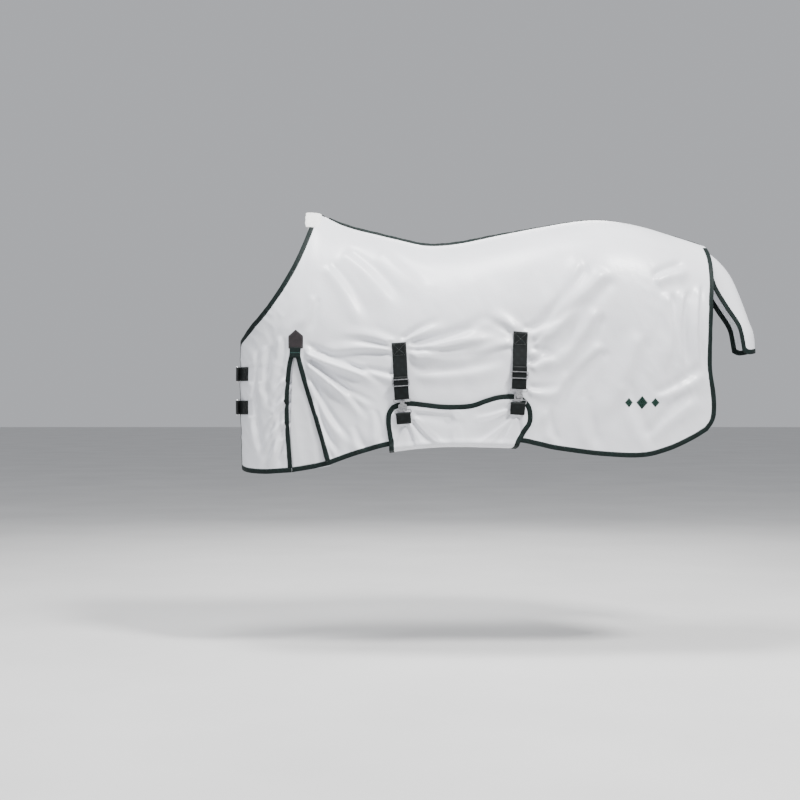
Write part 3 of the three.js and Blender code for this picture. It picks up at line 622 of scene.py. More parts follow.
def chart_stitches(over, corners, level, pitch, length):
    """Stitches along straight runs between corners of a chart, at a level above a surface."""
    made = []
    for p, q in zip(corners[:-1], corners[1:]):
        t = np.linspace(0, 1, 24)[:, None]
        ab = np.array(p, float) * (1 - t) + np.array(q, float) * t
        row = over(ab[:, 0], ab[:, 1], level)
        out = over(ab[:, 0], ab[:, 1], level + 2) - row
        made.append(stitch_row("run", row, out, pitch, length, 0.7))
    return made


# ------------------------------------------------------------------ webbing
def rounded_strip(width, thick, across=8):
    """The outline of a strip of webbing: (distance across, height)."""
    half, lip = width / 2, thick / 2
    top = [(x, lip) for x in np.linspace(half - 0.9, -half + 0.9, across)]
    low = [(x, -lip) for x in np.linspace(-half + 0.9, half - 0.9, across)]
    return np.array(top + [(-half + 0.2, lip * 0.6), (-half, 0), (-half + 0.2, -lip * 0.6)]
                    + low + [(half - 0.2, -lip * 0.6), (half, 0), (half - 0.2, lip * 0.6)])


def webbing(name, over, start, end, path, width=WEB_WIDTH, thick=WEB, fine=6.0):
    """Webbing through a path of [run, level] points, from a chart point towards another."""
    start, end = np.array(start, float), np.array(end, float)
    along = (end - start) / np.linalg.norm(end - start)
    path = np.array(path, float)
    steps = []
    for p, q in zip(path[:-1], path[1:]):
        n = max(int(np.ceil(np.linalg.norm(q - p) / fine)), 1)
        steps += [p + (q - p) * k / n for k in range(n)]
    steps = np.array(steps + [path[-1]])
    for _ in range(2):
        steps[1:-1] = (steps[:-2] + 2 * steps[1:-1] + steps[2:]) / 4
    tangent = np.gradient(steps, axis=0)
    tangent /= np.linalg.norm(tangent, axis=1, keepdims=True)
    sections = []
    for d, h in rounded_strip(width, thick):
        run = steps[:, 0] + tangent[:, 1] * h
        level = steps[:, 1] + tangent[:, 0] * h
        a = start[0] + along[0] * run - along[1] * d
        b = start[1] + along[1] * run + along[0] * d
        sections.append(over(a, b, level))
    return sweep(name, np.stack(sections, 1))


def loop_path(length, levels, back, sewn=50, turns=7):
    """Down the back, round a bar, and up the front as far as back: [run, level] points."""
    middle = (levels["back"] + levels["front"]) / 2
    radius = (levels["front"] - levels["back"]) / 2
    path = [[0, levels["start"]]]
    if length >= 2 * sewn:
        path.append([sewn, levels["start"]])
    path += [[length * 0.62, levels["back"]], [length, levels["back"]]]
    for i in range(1, turns):
        turn = i / turns * math.pi
        path.append([length + radius * math.sin(turn), middle - radius * math.cos(turn)])
    return path + [[length, levels["front"]], [length - back, levels["front"]]]


# ------------------------------------------------------------------ the belly flap
FLAP_SAG = 30  # below the hem
FLAP_XS = np.linspace(262, 800, 55)
FLAP_STEP = 4.0
FLAP_QS = np.arange(0, 861, FLAP_STEP)
hem_z = profile([
    [214, -846], [282, -828], [400, -812], [520, -806], [640, -808], [742, -814], [805, -827]])


def centripetal(points, fine=24):
    """Points along a centripetal Catmull-Rom curve."""
    p = np.vstack([2 * points[0] - points[1], points, 2 * points[-1] - points[-2]])
    made = []
    for i in range(1, len(p) - 2):
        d0, d1, d2 = (np.sqrt(np.linalg.norm(p[i + k] - p[i + k - 1])) for k in (0, 1, 2))
        t1 = ((p[i] - p[i - 1]) / d0 - (p[i + 1] - p[i - 1]) / (d0 + d1) + (p[i + 1] - p[i]) / d1) * d1
        t2 = ((p[i + 1] - p[i]) / d1 - (p[i + 2] - p[i]) / (d1 + d2) + (p[i + 2] - p[i + 1]) / d2) * d1
        t = np.linspace(0, 1, fine, endpoint=False)[:, None]
        made.append(p[i] + t1 * t + (-3 * p[i] + 3 * p[i + 1] - 2 * t1 - t2) * t ** 2
                    + (2 * p[i] - 2 * p[i + 1] + t1 + t2) * t ** 3)
    return np.vstack(made + [points[-1:]])


def flap_section(x):
    """Points round the flap at x, from its seam on the right hem to its top on the left side."""
    under = float(hem_z(x))
    y = float(on_body(RIGHT, x, under)[1])

    def side(which, z, level):
        return body_point(which, np.array(x, float), np.array(z, float), level)

    def at(share_of_y, z):
        return np.array([x, y * share_of_y, z])

    return np.array([
        side(RIGHT, under + 34, UNDER_BINDING - CLOTH), side(RIGHT, under + 6, UNDER_BINDING - CLOTH - 1),
        at(0.86, under - 13), at(0.55, under - FLAP_SAG + 2), at(0, under - FLAP_SAG - 3),
        at(-0.55, under - FLAP_SAG + 2), at(-0.92, under - 24), side(LEFT, under - 12, FLAP + 3),
        side(LEFT, under + 10, FLAP + 1), *(side(LEFT, under + up, FLAP) for up in (50, 100, 150, 210))])


def flap_table():
    rows = []
    for x in FLAP_XS:
        made = centripetal(flap_section(x))
        rows.append(np.stack([np.interp(FLAP_QS, run_of(made), made[:, k]) for k in range(3)], -1))
    return np.array(rows)


FLAP_TABLE = flap_table()


def on_flap(x, q):
    """Points of the flap's chart: [x, length of cloth from the seam on the right hem]."""
    x, q = np.broadcast_arrays(np.asarray(x, float), np.asarray(q, float))
    i = np.clip((x - FLAP_XS[0]) / (FLAP_XS[1] - FLAP_XS[0]), 0, len(FLAP_XS) - 1.001)
    j = np.clip(q / FLAP_STEP, 0, len(FLAP_QS) - 1.001)
    i0, j0 = i.astype(int), j.astype(int)
    fi, fj = (i - i0)[..., None], (j - j0)[..., None]
    return ((1 - fi) * (1 - fj) * FLAP_TABLE[i0, j0] + fi * (1 - fj) * FLAP_TABLE[i0 + 1, j0]
            + (1 - fi) * fj * FLAP_TABLE[i0, j0 + 1] + fi * fj * FLAP_TABLE[i0 + 1, j0 + 1])


FLAP_FOLDS = [
    ((338, -752), (296, -840), 10, 3.0, 0.7), ((345, -752), (372, -846), 10, 3.0, 0.7),
    ((360, -735), (470, -846), 13, 3.2, 0.7), ((365, -715), (560, -760), 16, 2.4, 0.8),
    ((724, -720), (668, -828), 12, 3.2, 0.7), ((716, -705), (560, -815), 16, 3.0, 0.7),
    ((736, -720), (750, -800), 10, 2.8, 0.6), ((700, -690), (560, -715), 14, 2.2, 0.8),
    ((500, -700), (490, -840), 22, 2.2, 0.4),
]


def flap_point(x, q, level=SKIN):
    base = on_flap(x, q)
    n = normals(on_flap, x, q, -1, step=3.0)
    on_left = np.clip((-base[..., 1] - 200) / 60, 0, 1)
    folds = fold_heights(base[..., 0], base[..., 2], FLAP_FOLDS) * on_left
    waves = noise_field(base[..., 0], np.asarray(q, float) * np.ones(base.shape[:-1]), 0, 120, 5.0)
    lift = level + np.clip(folds * 1.25, -1.8, 8) + 1.8 * waves * (1 - 0.4 * on_left)
    return base + n * lift[..., None]


def up_flap(x, z):
    """The flap's chart point at x, where it has come up its left side to height z."""
    qs = np.linspace(600, 860, 521)
    heights = on_flap(np.full_like(qs, x), qs)[:, 2]
    return [x, float(qs[np.argmax(heights >= z)])]


flap_front_edge = route([
    [286, 0], [286, 300], [288, 560], up_flap(284, -800), up_flap(277, -750), up_flap(280, -712),
    up_flap(296, -688)])
flap_top_edge = route([up_flap(x, z) for x, z in (
    (296, -688), (324, -677), (357, -673), (408, -678), (470, -685), (533, -685), (575, -680), (617, -665),
    (663, -652), (713, -650), (748, -660))])
flap_rear_edge = route([
    [727, 0], [727, 300], [728, 560], up_flap(752, -790), up_flap(776, -752), up_flap(780, -718),
    up_flap(771, -684), up_flap(748, -660)])


def round_of(first, middle, last, start, end):
    """One edge from three that meet: up the first, along the middle one and down the last."""
    def value(t):
        t = np.asarray(t, float)
        up = first(np.clip(t / start, 0, 1))
        down = last(np.clip((1 - t) / (1 - end), 0, 1))
        between = middle(np.clip((t - start) / (end - start), 0, 1))
        return np.where((t < start)[..., None], up, np.where((t > end)[..., None], down, between))

    return value


flap_edge = round_of(flap_front_edge, flap_top_edge, flap_rear_edge, 0.4, 0.62)
flap_area = patch(line([286, 0], [727, 0]), flap_top_edge, flap_front_edge, flap_rear_edge)


# ------------------------------------------------------------------ the tail flap
tail_ridge = route([
    [1434, -126], [1462, -146], [1488, -170], [1517, -208], [1542, -256], [1568, -325], [1590, -383],
    [1606, -427], [1614, -502]])
tail_side = route([
    [1424, -176], [1426, -224], [1438, -281], [1478, -345], [1524, -407], [1535, -455], [1538, -526]])
TAIL_WIDTH = 84  # half of it
TAIL_LENGTH = 420
TAIL_ROUND = 80  # degrees to each side
TAIL_TOP = -34
TAIL_FOLDS = 2.6


def on_tail(q, turned):
    """Points of the tail flap's chart: [length down it, degrees round it]."""
    q, turned = np.broadcast_arrays(np.asarray(q, float), np.asarray(turned, float))
    t = np.clip(q / TAIL_LENGTH, 0, 1)
    top, side = tail_ridge(t), tail_side(t)
    turn = np.radians(turned)
    xz = top + (side - top) * (1 - np.cos(turn))[..., None]
    # before its ridge starts it runs on up under the rear edge
    xz = xz + np.minimum(q, 0)[..., None] * (0.93, -0.30)
    return np.stack([xz[..., 0], TAIL_WIDTH * (0.94 + 0.12 * t) * np.sin(turn), xz[..., 1]], -1)


def tail_point(q, turned, level=SKIN):
    base = on_tail(q, turned)
    n = normals(on_tail, q, turned, 1, step=2.0)
    q, turned = np.broadcast_arrays(np.asarray(q, float), np.asarray(turned, float))
    flute = np.sin(np.radians(turned) * 3.1 + 0.6 + q * 0.006) * np.clip(q / 160, 0, 1)
    sag = noise_field(q, turned * 1.4, 0, 90, 11.0)
    lift = level + TAIL_FOLDS * flute + 1.8 * sag
    return base + n * lift[..., None]


tail_sides = [
    route([[TAIL_TOP, s * TAIL_ROUND], [300, s * TAIL_ROUND], [390, s * (TAIL_ROUND - 4)]]) for s in (-1, 1)]
tail_foot = route([
    [390, 4 - TAIL_ROUND], [410, 26 - TAIL_ROUND], [414, 0], [410, TAIL_ROUND - 26], [390, TAIL_ROUND - 4]])
tail_edge = round_of(tail_sides[0], tail_foot, tail_sides[1], 0.4, 0.6)
tail_area = patch(*tail_sides, line([TAIL_TOP, -TAIL_ROUND], [TAIL_TOP, TAIL_ROUND]), tail_foot)


# ------------------------------------------------------------------ materials
class Look:
    """A material's nodes. Values are numbers, colours or other nodes' sockets."""

    def __init__(self, name):
        self.material = bpy.data.materials.new(name)
        self.material.use_nodes = True
        self.nodes = self.material.node_tree.nodes
        self.coords = self.nodes.new("ShaderNodeTexCoord").outputs

    def put(self, value, socket):
        if isinstance(value, bpy.types.NodeSocket):
            self.material.node_tree.links.new(value, socket)
        else:
            socket.default_value = (*value, 1) if socket.type == "RGBA" else value

    def add(self, kind, settings=(), **inputs):
        made = self.nodes.new(f"ShaderNode{kind}")
        for key, value in settings:
            setattr(made, key, value)
        for key, value in inputs.items():
            self.put(value, made.inputs[key])
        return made.outputs

    def noise(self, coords, scale, detail=3.0, rough=0.5):
        return self.add("TexNoise", Vector=coords, Scale=scale, Detail=detail, Roughness=rough)["Fac"]

    def ramp(self, value, low, dark, high, light):
        """From dark at low to light at high. A grey is given as one number."""
        made = self.add("ValToRGB", Fac=value)["Color"]
        for element, at, colour in zip(made.node.color_ramp.elements, (low, high), (dark, light)):
            element.position = at
            element.color = (*(colour if isinstance(colour, tuple) else (colour,) * 3), 1)
        return made

    def mixed(self, factor, a, b, kind="MIX"):
        settings = ("data_type", "RGBA"), ("blend_type", kind)
        return self.add("Mix", settings, Factor=factor, A=a, B=b)["Result"]

    def weave(self, coords, pitch, turned=0.0):
        """Height of a plain weave of threads at a pitch in metres, from 0 to 1."""
        spun = self.add("Mapping", Vector=coords, Rotation=(0, 0, turned))["Vector"]
        product = self.nodes.new("ShaderNodeMath")
        product.operation = "MULTIPLY"
        for direction, socket in zip("XY", product.inputs):
            scale = 1 / pitch / math.pi * 0.1
            wave = self.add("TexWave", (("bands_direction", direction),), Vector=spun, Scale=scale)
            self.put(wave["Fac"], socket)
        return product.outputs["Value"]

    def bump(self, height, strength, distance, **below):
        return self.add("Bump", Strength=strength, Distance=distance, Height=height, **below)["Normal"]

    def done(self, **values):
        """Puts values in the shader's sockets, whose names have underscores for spaces."""
        for key, value in values.items():
            self.put(value, self.nodes["Principled BSDF"].inputs[key.replace("_", " ")])
        return self.material


def times(colour, factor):
    return tuple(c * factor for c in colour)


def satin(name, tint):
    look = Look(name)
    uv = look.coords["UV"]
    cloudy, fine = look.noise(uv, 5.0, 4.0, 0.6), look.noise(uv, 60.0, 3.0, 0.6)
    threads = look.weave(uv, 0.0011)
    # painted shade: the weave's height darkens the base colour a little in the hollows between the threads
    weave_hollow_shade = look.mixed(threads, (0.975, 0.975, 0.975), (1.0, 1.0, 1.0))
    base = look.ramp(cloudy, 0.3, times(tint, 0.9), 0.7, tint)
    crinkle = look.bump(fine, 0.25, 0.0016)
    return look.done(
        Base_Color=look.mixed(1.0, base, weave_hollow_shade, "MULTIPLY"),
        Roughness=look.ramp(cloudy, 0.3, 0.30, 0.75, 0.42),
        Normal=look.bump(threads, 0.22, 0.00025, Normal=crinkle), Specular_IOR_Level=0.55,
        Sheen_Weight=0.18, Sheen_Roughness=0.4, Sheen_Tint=(0.95, 0.96, 1.0))


def woven_tape(name, colour, pitch, rib_strength=0.5):
    look = Look(name)
    uv = look.coords["UV"]
    threads = look.weave(uv, pitch, math.pi / 4)
    worn = look.noise(uv, 35.0, 4.0, 0.65)
    lint = look.ramp(worn, 0.4, times(colour, 0.8), 0.72, times(colour, 1.35))
    # painted light and shade: the weave's height lightens the thread crests and darkens the hollows between
    # them in the base colour
    weave_light_and_shade = look.mixed(threads, (0.65, 0.65, 0.65), (1.25, 1.25, 1.25))
    return look.done(
        Base_Color=look.mixed(1.0, lint, weave_light_and_shade, "MULTIPLY"), Roughness=look.ramp(worn, 0.3, 0.55, 0.8, 0.75),
        Normal=look.bump(threads, rib_strength, 0.0004), Specular_IOR_Level=0.18,
        Sheen_Weight=0.02, Sheen_Roughness=0.5)


def fleece():
    look = Look("fleece")
    at = look.coords["Object"]
    curls, clumps = look.noise(at, 420.0, 5.0, 0.7), look.noise(at, 90.0, 3.0, 0.6)
    deep = look.bump(clumps, 0.7, 0.003)
    return look.done(
        Base_Color=look.ramp(clumps, 0.3, (0.74, 0.74, 0.72), 0.7, (0.9, 0.9, 0.89)),
        Normal=look.bump(curls, 0.9, 0.0012, Normal=deep), Roughness=0.95,
        Sheen_Weight=0.6, Sheen_Roughness=0.6)


def leather():
    look = Look("patch_leather")
    uv = look.coords["UV"]
    grain = look.add("TexVoronoi", (("feature", "DISTANCE_TO_EDGE"),), Vector=uv, Scale=650)["Distance"]
    worn = look.noise(uv, 60.0, 4.0, 0.6)
    return look.done(
        Base_Color=look.ramp(worn, 0.35, (0.013, 0.010, 0.011), 0.75, (0.026, 0.020, 0.022)),
        Roughness=look.ramp(worn, 0.3, 0.42, 0.8, 0.6), Normal=look.bump(grain, 0.5, 0.0006),
        Specular_IOR_Level=0.3)


def nickel(tint=(0.66, 0.66, 0.67), rough=0.24):
    look = Look("nickel")
    at = look.coords["Object"]
    smear = look.noise(at, 160.0, 4.0, 0.6)
    return look.done(
        Base_Color=look.ramp(smear, 0.3, times(tint, 0.82), 0.7, tint),
        Roughness=look.ramp(smear, 0.3, rough * 0.8, 0.75, rough * 1.5),
        Normal=look.bump(look.noise(at, 900.0, 2.0), 0.12, 0.0002), Metallic=1.0)


def thread(name, colour):
    look = Look(name)
    twist = look.noise(look.coords["Object"], 1500.0, 2.0)
    return look.done(
        Base_Color=look.ramp(twist, 0.3, times(colour, 0.75), 0.7, colour), Roughness=0.6,
        Normal=look.bump(twist, 0.4, 0.0002), Sheen_Weight=0.2)


def pale_floor():
    look = Look("pale_floor")
    cloudy = look.noise(look.coords["Object"], 1.2, 4.0, 0.5)
    return look.done(
        Base_Color=look.ramp(cloudy, 0.3, (0.60, 0.60, 0.597), 0.7, (0.66, 0.66, 0.657)), Roughness=0.85)


SATIN = satin("satin_cloth", (0.765, 0.775, 0.815))
INSERT_SATIN = satin("insert_cloth", (0.70, 0.705, 0.735))
TAPE_GREEN = woven_tape("binding_tape", (0.0030, 0.0098, 0.0088), 0.0012)
WEBBING = woven_tape("webbing", (0.0022, 0.0042, 0.0043), 0.0022, rib_strength=0.8)
EMBLEM = woven_tape("emblem_thread", (0.014, 0.060, 0.042), 0.0016)
FLEECE, LEATHER, NICKEL = fleece(), leather(), nickel()
THREAD = thread("green_thread", (0.018, 0.036, 0.032))
BLACK_THREAD = thread("black_thread", (0.05, 0.055, 0.055))
TEAL_THREAD = thread("teal_thread", (0.05, 0.22, 0.19))


def dressed(made, look, body, stands_for=()):
    """Gives a piece its material, attaches it to a body or, given a blend of two bodies, only bakes its
    transform, and hides the frame's nodes it stands for.
    """
    made.data.materials.clear()
    made.data.materials.append(look)
    if isinstance(body, tuple):
        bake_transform(made)
    else:
        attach(made, body)
    if stands_for:
        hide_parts(*stands_for)
    return made


# ------------------------------------------------------------------ the two sides
HINGE_START = -0.078  # x at which the body's cloth ends and the turn of the front opening starts
HINGE_END = -0.107
INSERT_LEVEL = UNDER_BINDING - 1.2
BOUND_TOP = -48  # height at which the neck's binding comes out of the pad


def hinge_blend(side_name, side):
    y = side * 0.2
    return "root", f"{side_name}_front", (HINGE_START, y, -0.6), (HINGE_END, y, -0.6)


def make_cloth(side_name, side):
    made = cloth_side(side_name, side)
    thicken(made, CLOTH_THICKNESS)
    return dressed(made, SATIN, hinge_blend(side_name, side),
                   (f"body_panel_{side_name}", f"front_panel_{side_name}"))


def make_insert(side_name, side):
    """The cloth behind the slit, a little wider than the slit all round."""
    ends = [(float(slit_front(np.array(t))[0]), float(slit_rear(np.array(t))[0])) for t in (0.0, 1.0)]
    top = line([ends[0][0] - 8, -506], [ends[0][1] + 8, -506])
    foot = line([ends[1][0] - 10, -923], [ends[1][1] + 10, -899])
    area = patch(top, foot, *(line(top(np.array(e)), foot(np.array(e))) for e in (0.0, 1.0)))
    ab = area(*np.meshgrid(np.linspace(0, 1, 50), np.linspace(0, 1, 150)))
    x, z = ab[..., 0], ab[..., 1]
    ripple = 1.6 * np.sin((x + 0.12 * z) * 0.085 + 1.2) * np.clip((-540 - z) / 160, 0, 1)
    ripple = ripple - 1.5 * np.abs(noise_field(x, z, side, 60, 5.0))
    points = body_point(side, x, z, INSERT_LEVEL + np.minimum(ripple, 0.4) - 0.6)
    made = grid_piece(f"gusset_cloth_{side_name}", points)
    thicken(made, 0.8)
    dressed(made, INSERT_SATIN, "root", (f"gusset_insert_{side_name}",))


def bound_piece(name, edge, inward, steps, body, stands_for, seed, over, surface):
    """A bound edge: its tape and the stitches that go with it."""
    tape, stitches = bind(name, edge, inward, steps, seed, over, surface)
    dressed(tape, TAPE_GREEN, body, stands_for)
    dressed(stitches, THREAD, body)
    return [tape, stitches]


def make_bindings(side_name, side):
    turned, front = hinge_blend(side_name, side), f"{side_name}_front"
    over, surface = partial(cloth_point, side), partial(on_body, side)
    bound_at = share_where(neck, lambda p: p[..., 1], BOUND_TOP)
    made = []
    for seed, (name, edge, inward, steps, body, *stands_for) in enumerate((
        ("neck_tape", part(neck, bound_at, 0.955), 1, 150, turned, "neck_binding", "front_neck_binding"),
        ("chest_tape", part(chest_edge, 0, 0.965), 1, 110, front, "chest_binding"),
        ("front_hem_tape", hem_front, 1, 80, turned, "front_hem_binding"),
        ("hem_tape", hem, 1, 360, "root", "hem_binding"),
        ("rear_tape", part(rear_edge, 0.02, 1), -1, 170, "root", "rear_binding"),
        ("slit_tape_front", part(slit_front, 0, 0.965), -1, 120, "root", "gusset_binding_front"),
        ("slit_tape_rear", part(slit_rear, 0, 0.965), 1, 120, "root", "gusset_binding_rear"),
    ), 1):
        nodes = [f"{node}_{side_name}" for node in stands_for]
        made += bound_piece(f"{name}_{side_name}", edge, inward, steps, body, nodes, seed, over, surface)

    def over_insert(a, b, level):
        return body_point(side, a, b, level + INSERT_LEVEL - SKIN)

    name = f"insert_hem_tape_{side_name}"
    return made + bound_piece(name, insert_hem, 1, 70, "root", (), 10, over_insert, surface)


PATCH_X, PATCH_WIDTH, PATCH_APEX, PATCH_SHOULDER, PATCH_FOOT = -42, 52, -421, -443, -487
PATCH_BASE = SKIN + 0.6
PATCH_RINGS = (  # distance in from the rim, height
    (0, 0), (0, 1.0), (0.6, 1.9), (1.6, 2.2), (3.4, 1.75), (5, 2.0), (10, 2.3), (18, 2.4))
PATCH_SEAM = 3.4


def patch_corners(inset):
    """The patch's five corners, and the first one again."""
    w = PATCH_WIDTH / 2 - inset
    shoulder, foot = PATCH_SHOULDER - inset * 0.4, PATCH_FOOT + inset
    xz = [(-w, shoulder), (0, PATCH_APEX - inset * 1.3), (w, shoulder), (w, foot), (-w, foot), (-w, shoulder)]
    return [(PATCH_X + x, z) for x, z in xz]


def make_patch(side_name, side):
    """The leather patch, with a domed face and a rounded rim, its stitching and the tape under it."""
    over = partial(cloth_point, side)

    def ring(inset, height):
        corners = patch_corners(inset)
        xz = [(x0 + (x1 - x0) * t, z0 + (z1 - z0) * t)
              for (x0, z0), (x1, z1) in zip(corners[:-1], corners[1:]) for t in np.linspace(0.04, 0.96, 14)]
        ab = np.array([placed(x, z) for x, z in xz])
        return over(ab[:, 0], ab[:, 1], PATCH_BASE + height)

    made = sweep(f"gusset_patch_cover_{side_name}", np.stack([ring(*row) for row in PATCH_RINGS], 0))
    uv = made.data.uv_layers["uv"].data
    for loop in made.data.loops:
        co = made.data.vertices[loop.vertex_index].co
        uv[loop.index].uv = (co.x, co.z)
    dressed(made, LEATHER, "root", (f"gusset_patch_{side_name}",))
    seam = [placed(x, z) for x, z in patch_corners(PATCH_SEAM)]
    bar = [placed(PATCH_X + s * (PATCH_WIDTH / 2 - 3), -502) for s in (-1, 1)]
    threads = chart_stitches(over, seam, PATCH_BASE + 1.9, 3.6, 2.5)
    dressed(join_objects(f"patch_stitches_{side_name}", threads), BLACK_THREAD, "root")
    threads = chart_stitches(over, bar, SKIN + 4.1, 2.2, 1.9)
    dressed(join_objects(f"bar_stitches_{side_name}", threads), TEAL_THREAD, "root")
    top, foot = placed(PATCH_X - 2, PATCH_FOOT + 10), placed(PATCH_X - 3, -520)
    tie = webbing(f"slit_tie_{side_name}", over, top, foot, [[0, SKIN + 1.4], [43, SKIN + 2.8]], 34, 2.0)
    dressed(tie, TAPE_GREEN, "root")


# ------------------------------------------------------------------ along the spine
SPINE_HALF = 8.5
SPINE_LEVEL = 2.6
fin_height = profile([[62, 1.6], [110, 6], [250, 7], [600, 7], [760, 3.5], [900, 1.6], [1420, 1.6]])


def spine_ring(x):
    """The outline of the spine's tape at x, folded up over the seam as a fin."""
    fin = float(fin_height(x)) + 0.5 * math.sin(x * 0.11) + 0.3 * math.sin(x * 0.37 + 1)
    near = [(-SPINE_HALF, 0.1), (-SPINE_HALF, 1.0), (1 - SPINE_HALF, 1.5), (-4.5, 1.9), (-2.3, 2.4),
            (-1.4, fin * 0.8 + 1.2), (-0.9, fin + 1.3)]
    far = [(-y, z) for y, z in reversed(near)]
    top = float(ridge(x)) + SPINE_LEVEL
    return [[x, y, top + z - 0.012 * abs(y) ** 1.3] for y, z in [*near, (0, fin + 1.9), *far, (0, -0.2)]]


def make_spine_run(name, start, end, steps, stands_for=()):
    """Binding tape folded over the seam that joins the two sides, and its two rows of stitches."""
    xs = np.linspace(start, end, steps)
    tape = sweep(name, np.array([spine_ring(x) for x in xs]))
    dressed(tape, TAPE_GREEN, "root", stands_for)
    up = np.tile([0, 0, 1.0], (steps, 1))
    rows = [stitch_row("row", np.array([[x, y, float(ridge(x)) + SPINE_LEVEL + 1.75] for x in xs]), up)
            for y in (2.2 - SPINE_HALF, SPINE_HALF - 2.2)]
    dressed(join_objects(f"{name}_stitches", rows), THREAD, "root")


PAD_FRONT = -20
PAD_REAR = 38
PAD_HALF = 80
PAD_THICK = 7.0  # half of it
PAD_FLOOR_HALF = 40  # the underside is flat as far out as this
PAD_TILT = -0.09


def back_z(y):
    """Height of the cloth at the withers, at y across the back."""
    down = 1 - np.sqrt(np.maximum(1 - (np.abs(y) / breadth(WRAP)) ** fullness(WRAP), 0))
    return float(ridge(WRAP) - fall(WRAP) * down)


def pad_ring(y):
    """The outline of the pad at y, tufted, and thinner towards its ends."""
    close = 1 - (abs(y) / PAD_HALF) ** 6
    tuft = noise.noise(Vector((y / 14, 3.1, 0)))
    middle_x = (PAD_FRONT + PAD_REAR) / 2 + 1.5 * tuft
    wide = (PAD_REAR - PAD_FRONT) / 2 * (0.86 + 0.14 * close)
    thick = (PAD_THICK + 0.6 * tuft) * (0.35 + 0.65 * close)
    centre = back_z(y) - 0.4
    slope = math.atan2(back_z(abs(y) + 1) - back_z(max(abs(y) - 1, 0)), 2 if abs(y) > 1 else 1)
    normal = np.array([0, math.sin(-slope) * (1 if y >= 0 else -1), math.cos(slope)])
    ring = []
    for a in np.linspace(0, 2 * math.pi, 28, endpoint=False):
        c, s = math.cos(a), math.sin(a)
        dx = wide * np.sign(c) * abs(c) ** 0.8
        dn = thick * np.sign(s) * abs(s) ** 0.7
        p = np.array([middle_x + dx, y, centre + PAD_TILT * dx]) + normal * dn
        p = p + normal * noise.noise(Vector(p / 5)) * 0.8 * np.sign(s)
        if abs(y) < PAD_FLOOR_HALF:
            p[2] = max(p[2], min(0.0, centre - 9))
        ring.append(p)
    return ring


def make_pad():
    """The fleece pad, folded over the neck edge on the withers."""
    made = sweep("withers_fleece", np.array([pad_ring(y) for y in np.linspace(-PAD_HALF, PAD_HALF, 65)]))
    dressed(made, FLEECE, "root", ("withers_pad",))


# ------------------------------------------------------------------ flaps
FLAP_SEAM = ("root", "belly_flap_body", (0.5, 0.287, -0.80), (0.5, 0.225, -0.842))
TAIL_SEAM = ("root", "tail_flap_body", (1.420, 0, -0.128), (1.462, 0, -0.15))


def make_flap(node, points, seam, edge, inward, steps, seed, over, surface):
    """A flap's cloth and its bound edge, for a node of the frame."""
    made = grid_piece(f"{node}_cloth", points)
    thicken(made, CLOTH_THICKNESS)
    dressed(made, SATIN, seam, (node,))
    tapes = bound_piece(f"{node}_tape", edge, inward, steps, seam, (f"{node}_binding",), seed, over, surface)
    return made, tapes


def make_belly_flap():
    ab = flap_area(*np.meshgrid(np.linspace(0, 1, 130), np.linspace(0, 1, 260)))
    points = flap_point(ab[..., 0], ab[..., 1])
    edge = part(flap_edge, 0.012, 0.988)
    return make_flap("belly_flap", points, FLAP_SEAM, edge, -1, 520, 8, flap_point, on_flap)


def make_tail_flap():
    across, down = np.meshgrid(np.linspace(0, 1, 110), np.linspace(0, 1, 150))
    ab = tail_area(down, across)
    points = tail_point(ab[..., 0], ab[..., 1])
    edge = part(tail_edge, 0.06, 0.94)
    return make_flap("tail_flap", points, TAIL_SEAM, edge, 1, 240, 9, tail_point, on_tail)


# ------------------------------------------------------------------ straps
BELTS = {  # x of the anchor, the hook's bar and the tab's foot, then the height of each
    "front": ((319, 332, 339), (-469, -662, -749)), "rear": ((740, 732, 727), (-432, -626, -717))}
CHEST_STRAPS = {"upper": -575, "lower": -695}
CHEST_ANCHOR, CHEST_BAR, CHEST_TAB = -150, -322, -225  # stations
EYE_REACH = 53  # from the hook's bar to the eye's
LOOP_EASE = 0.4  # wider and thinner round the chest bars, so that their square section can turn
SEWN_LEVEL = ON_CLOTH + WEB / 2
THREAD_LEVEL = ON_CLOTH + WEB + 0.1
TAB_LEVEL = EYE_LEVEL - LOOP


def sew_box(name, side, start, along, first, last, level, body):
    """The usual box of stitches with a cross, from first to last along a strap."""
    start, along = np.array(start, float), np.array(along, float)
    across = np.array([-along[1], along[0]]) * (WEB_WIDTH / 2 - 4)
    turns = (first, -1), (first, 1), (last, 1), (last, -1)
    a, b, c, d = (start + along * run + across * s for run, s in turns)
    made = []
    for corners in ([a, b, c, d, a], [a, c], [b, d]):
        made += chart_stitches(partial(body_point, side), corners, level, 4.2, 2.8)
    dressed(join_objects(name, made), BLACK_THREAD, body)


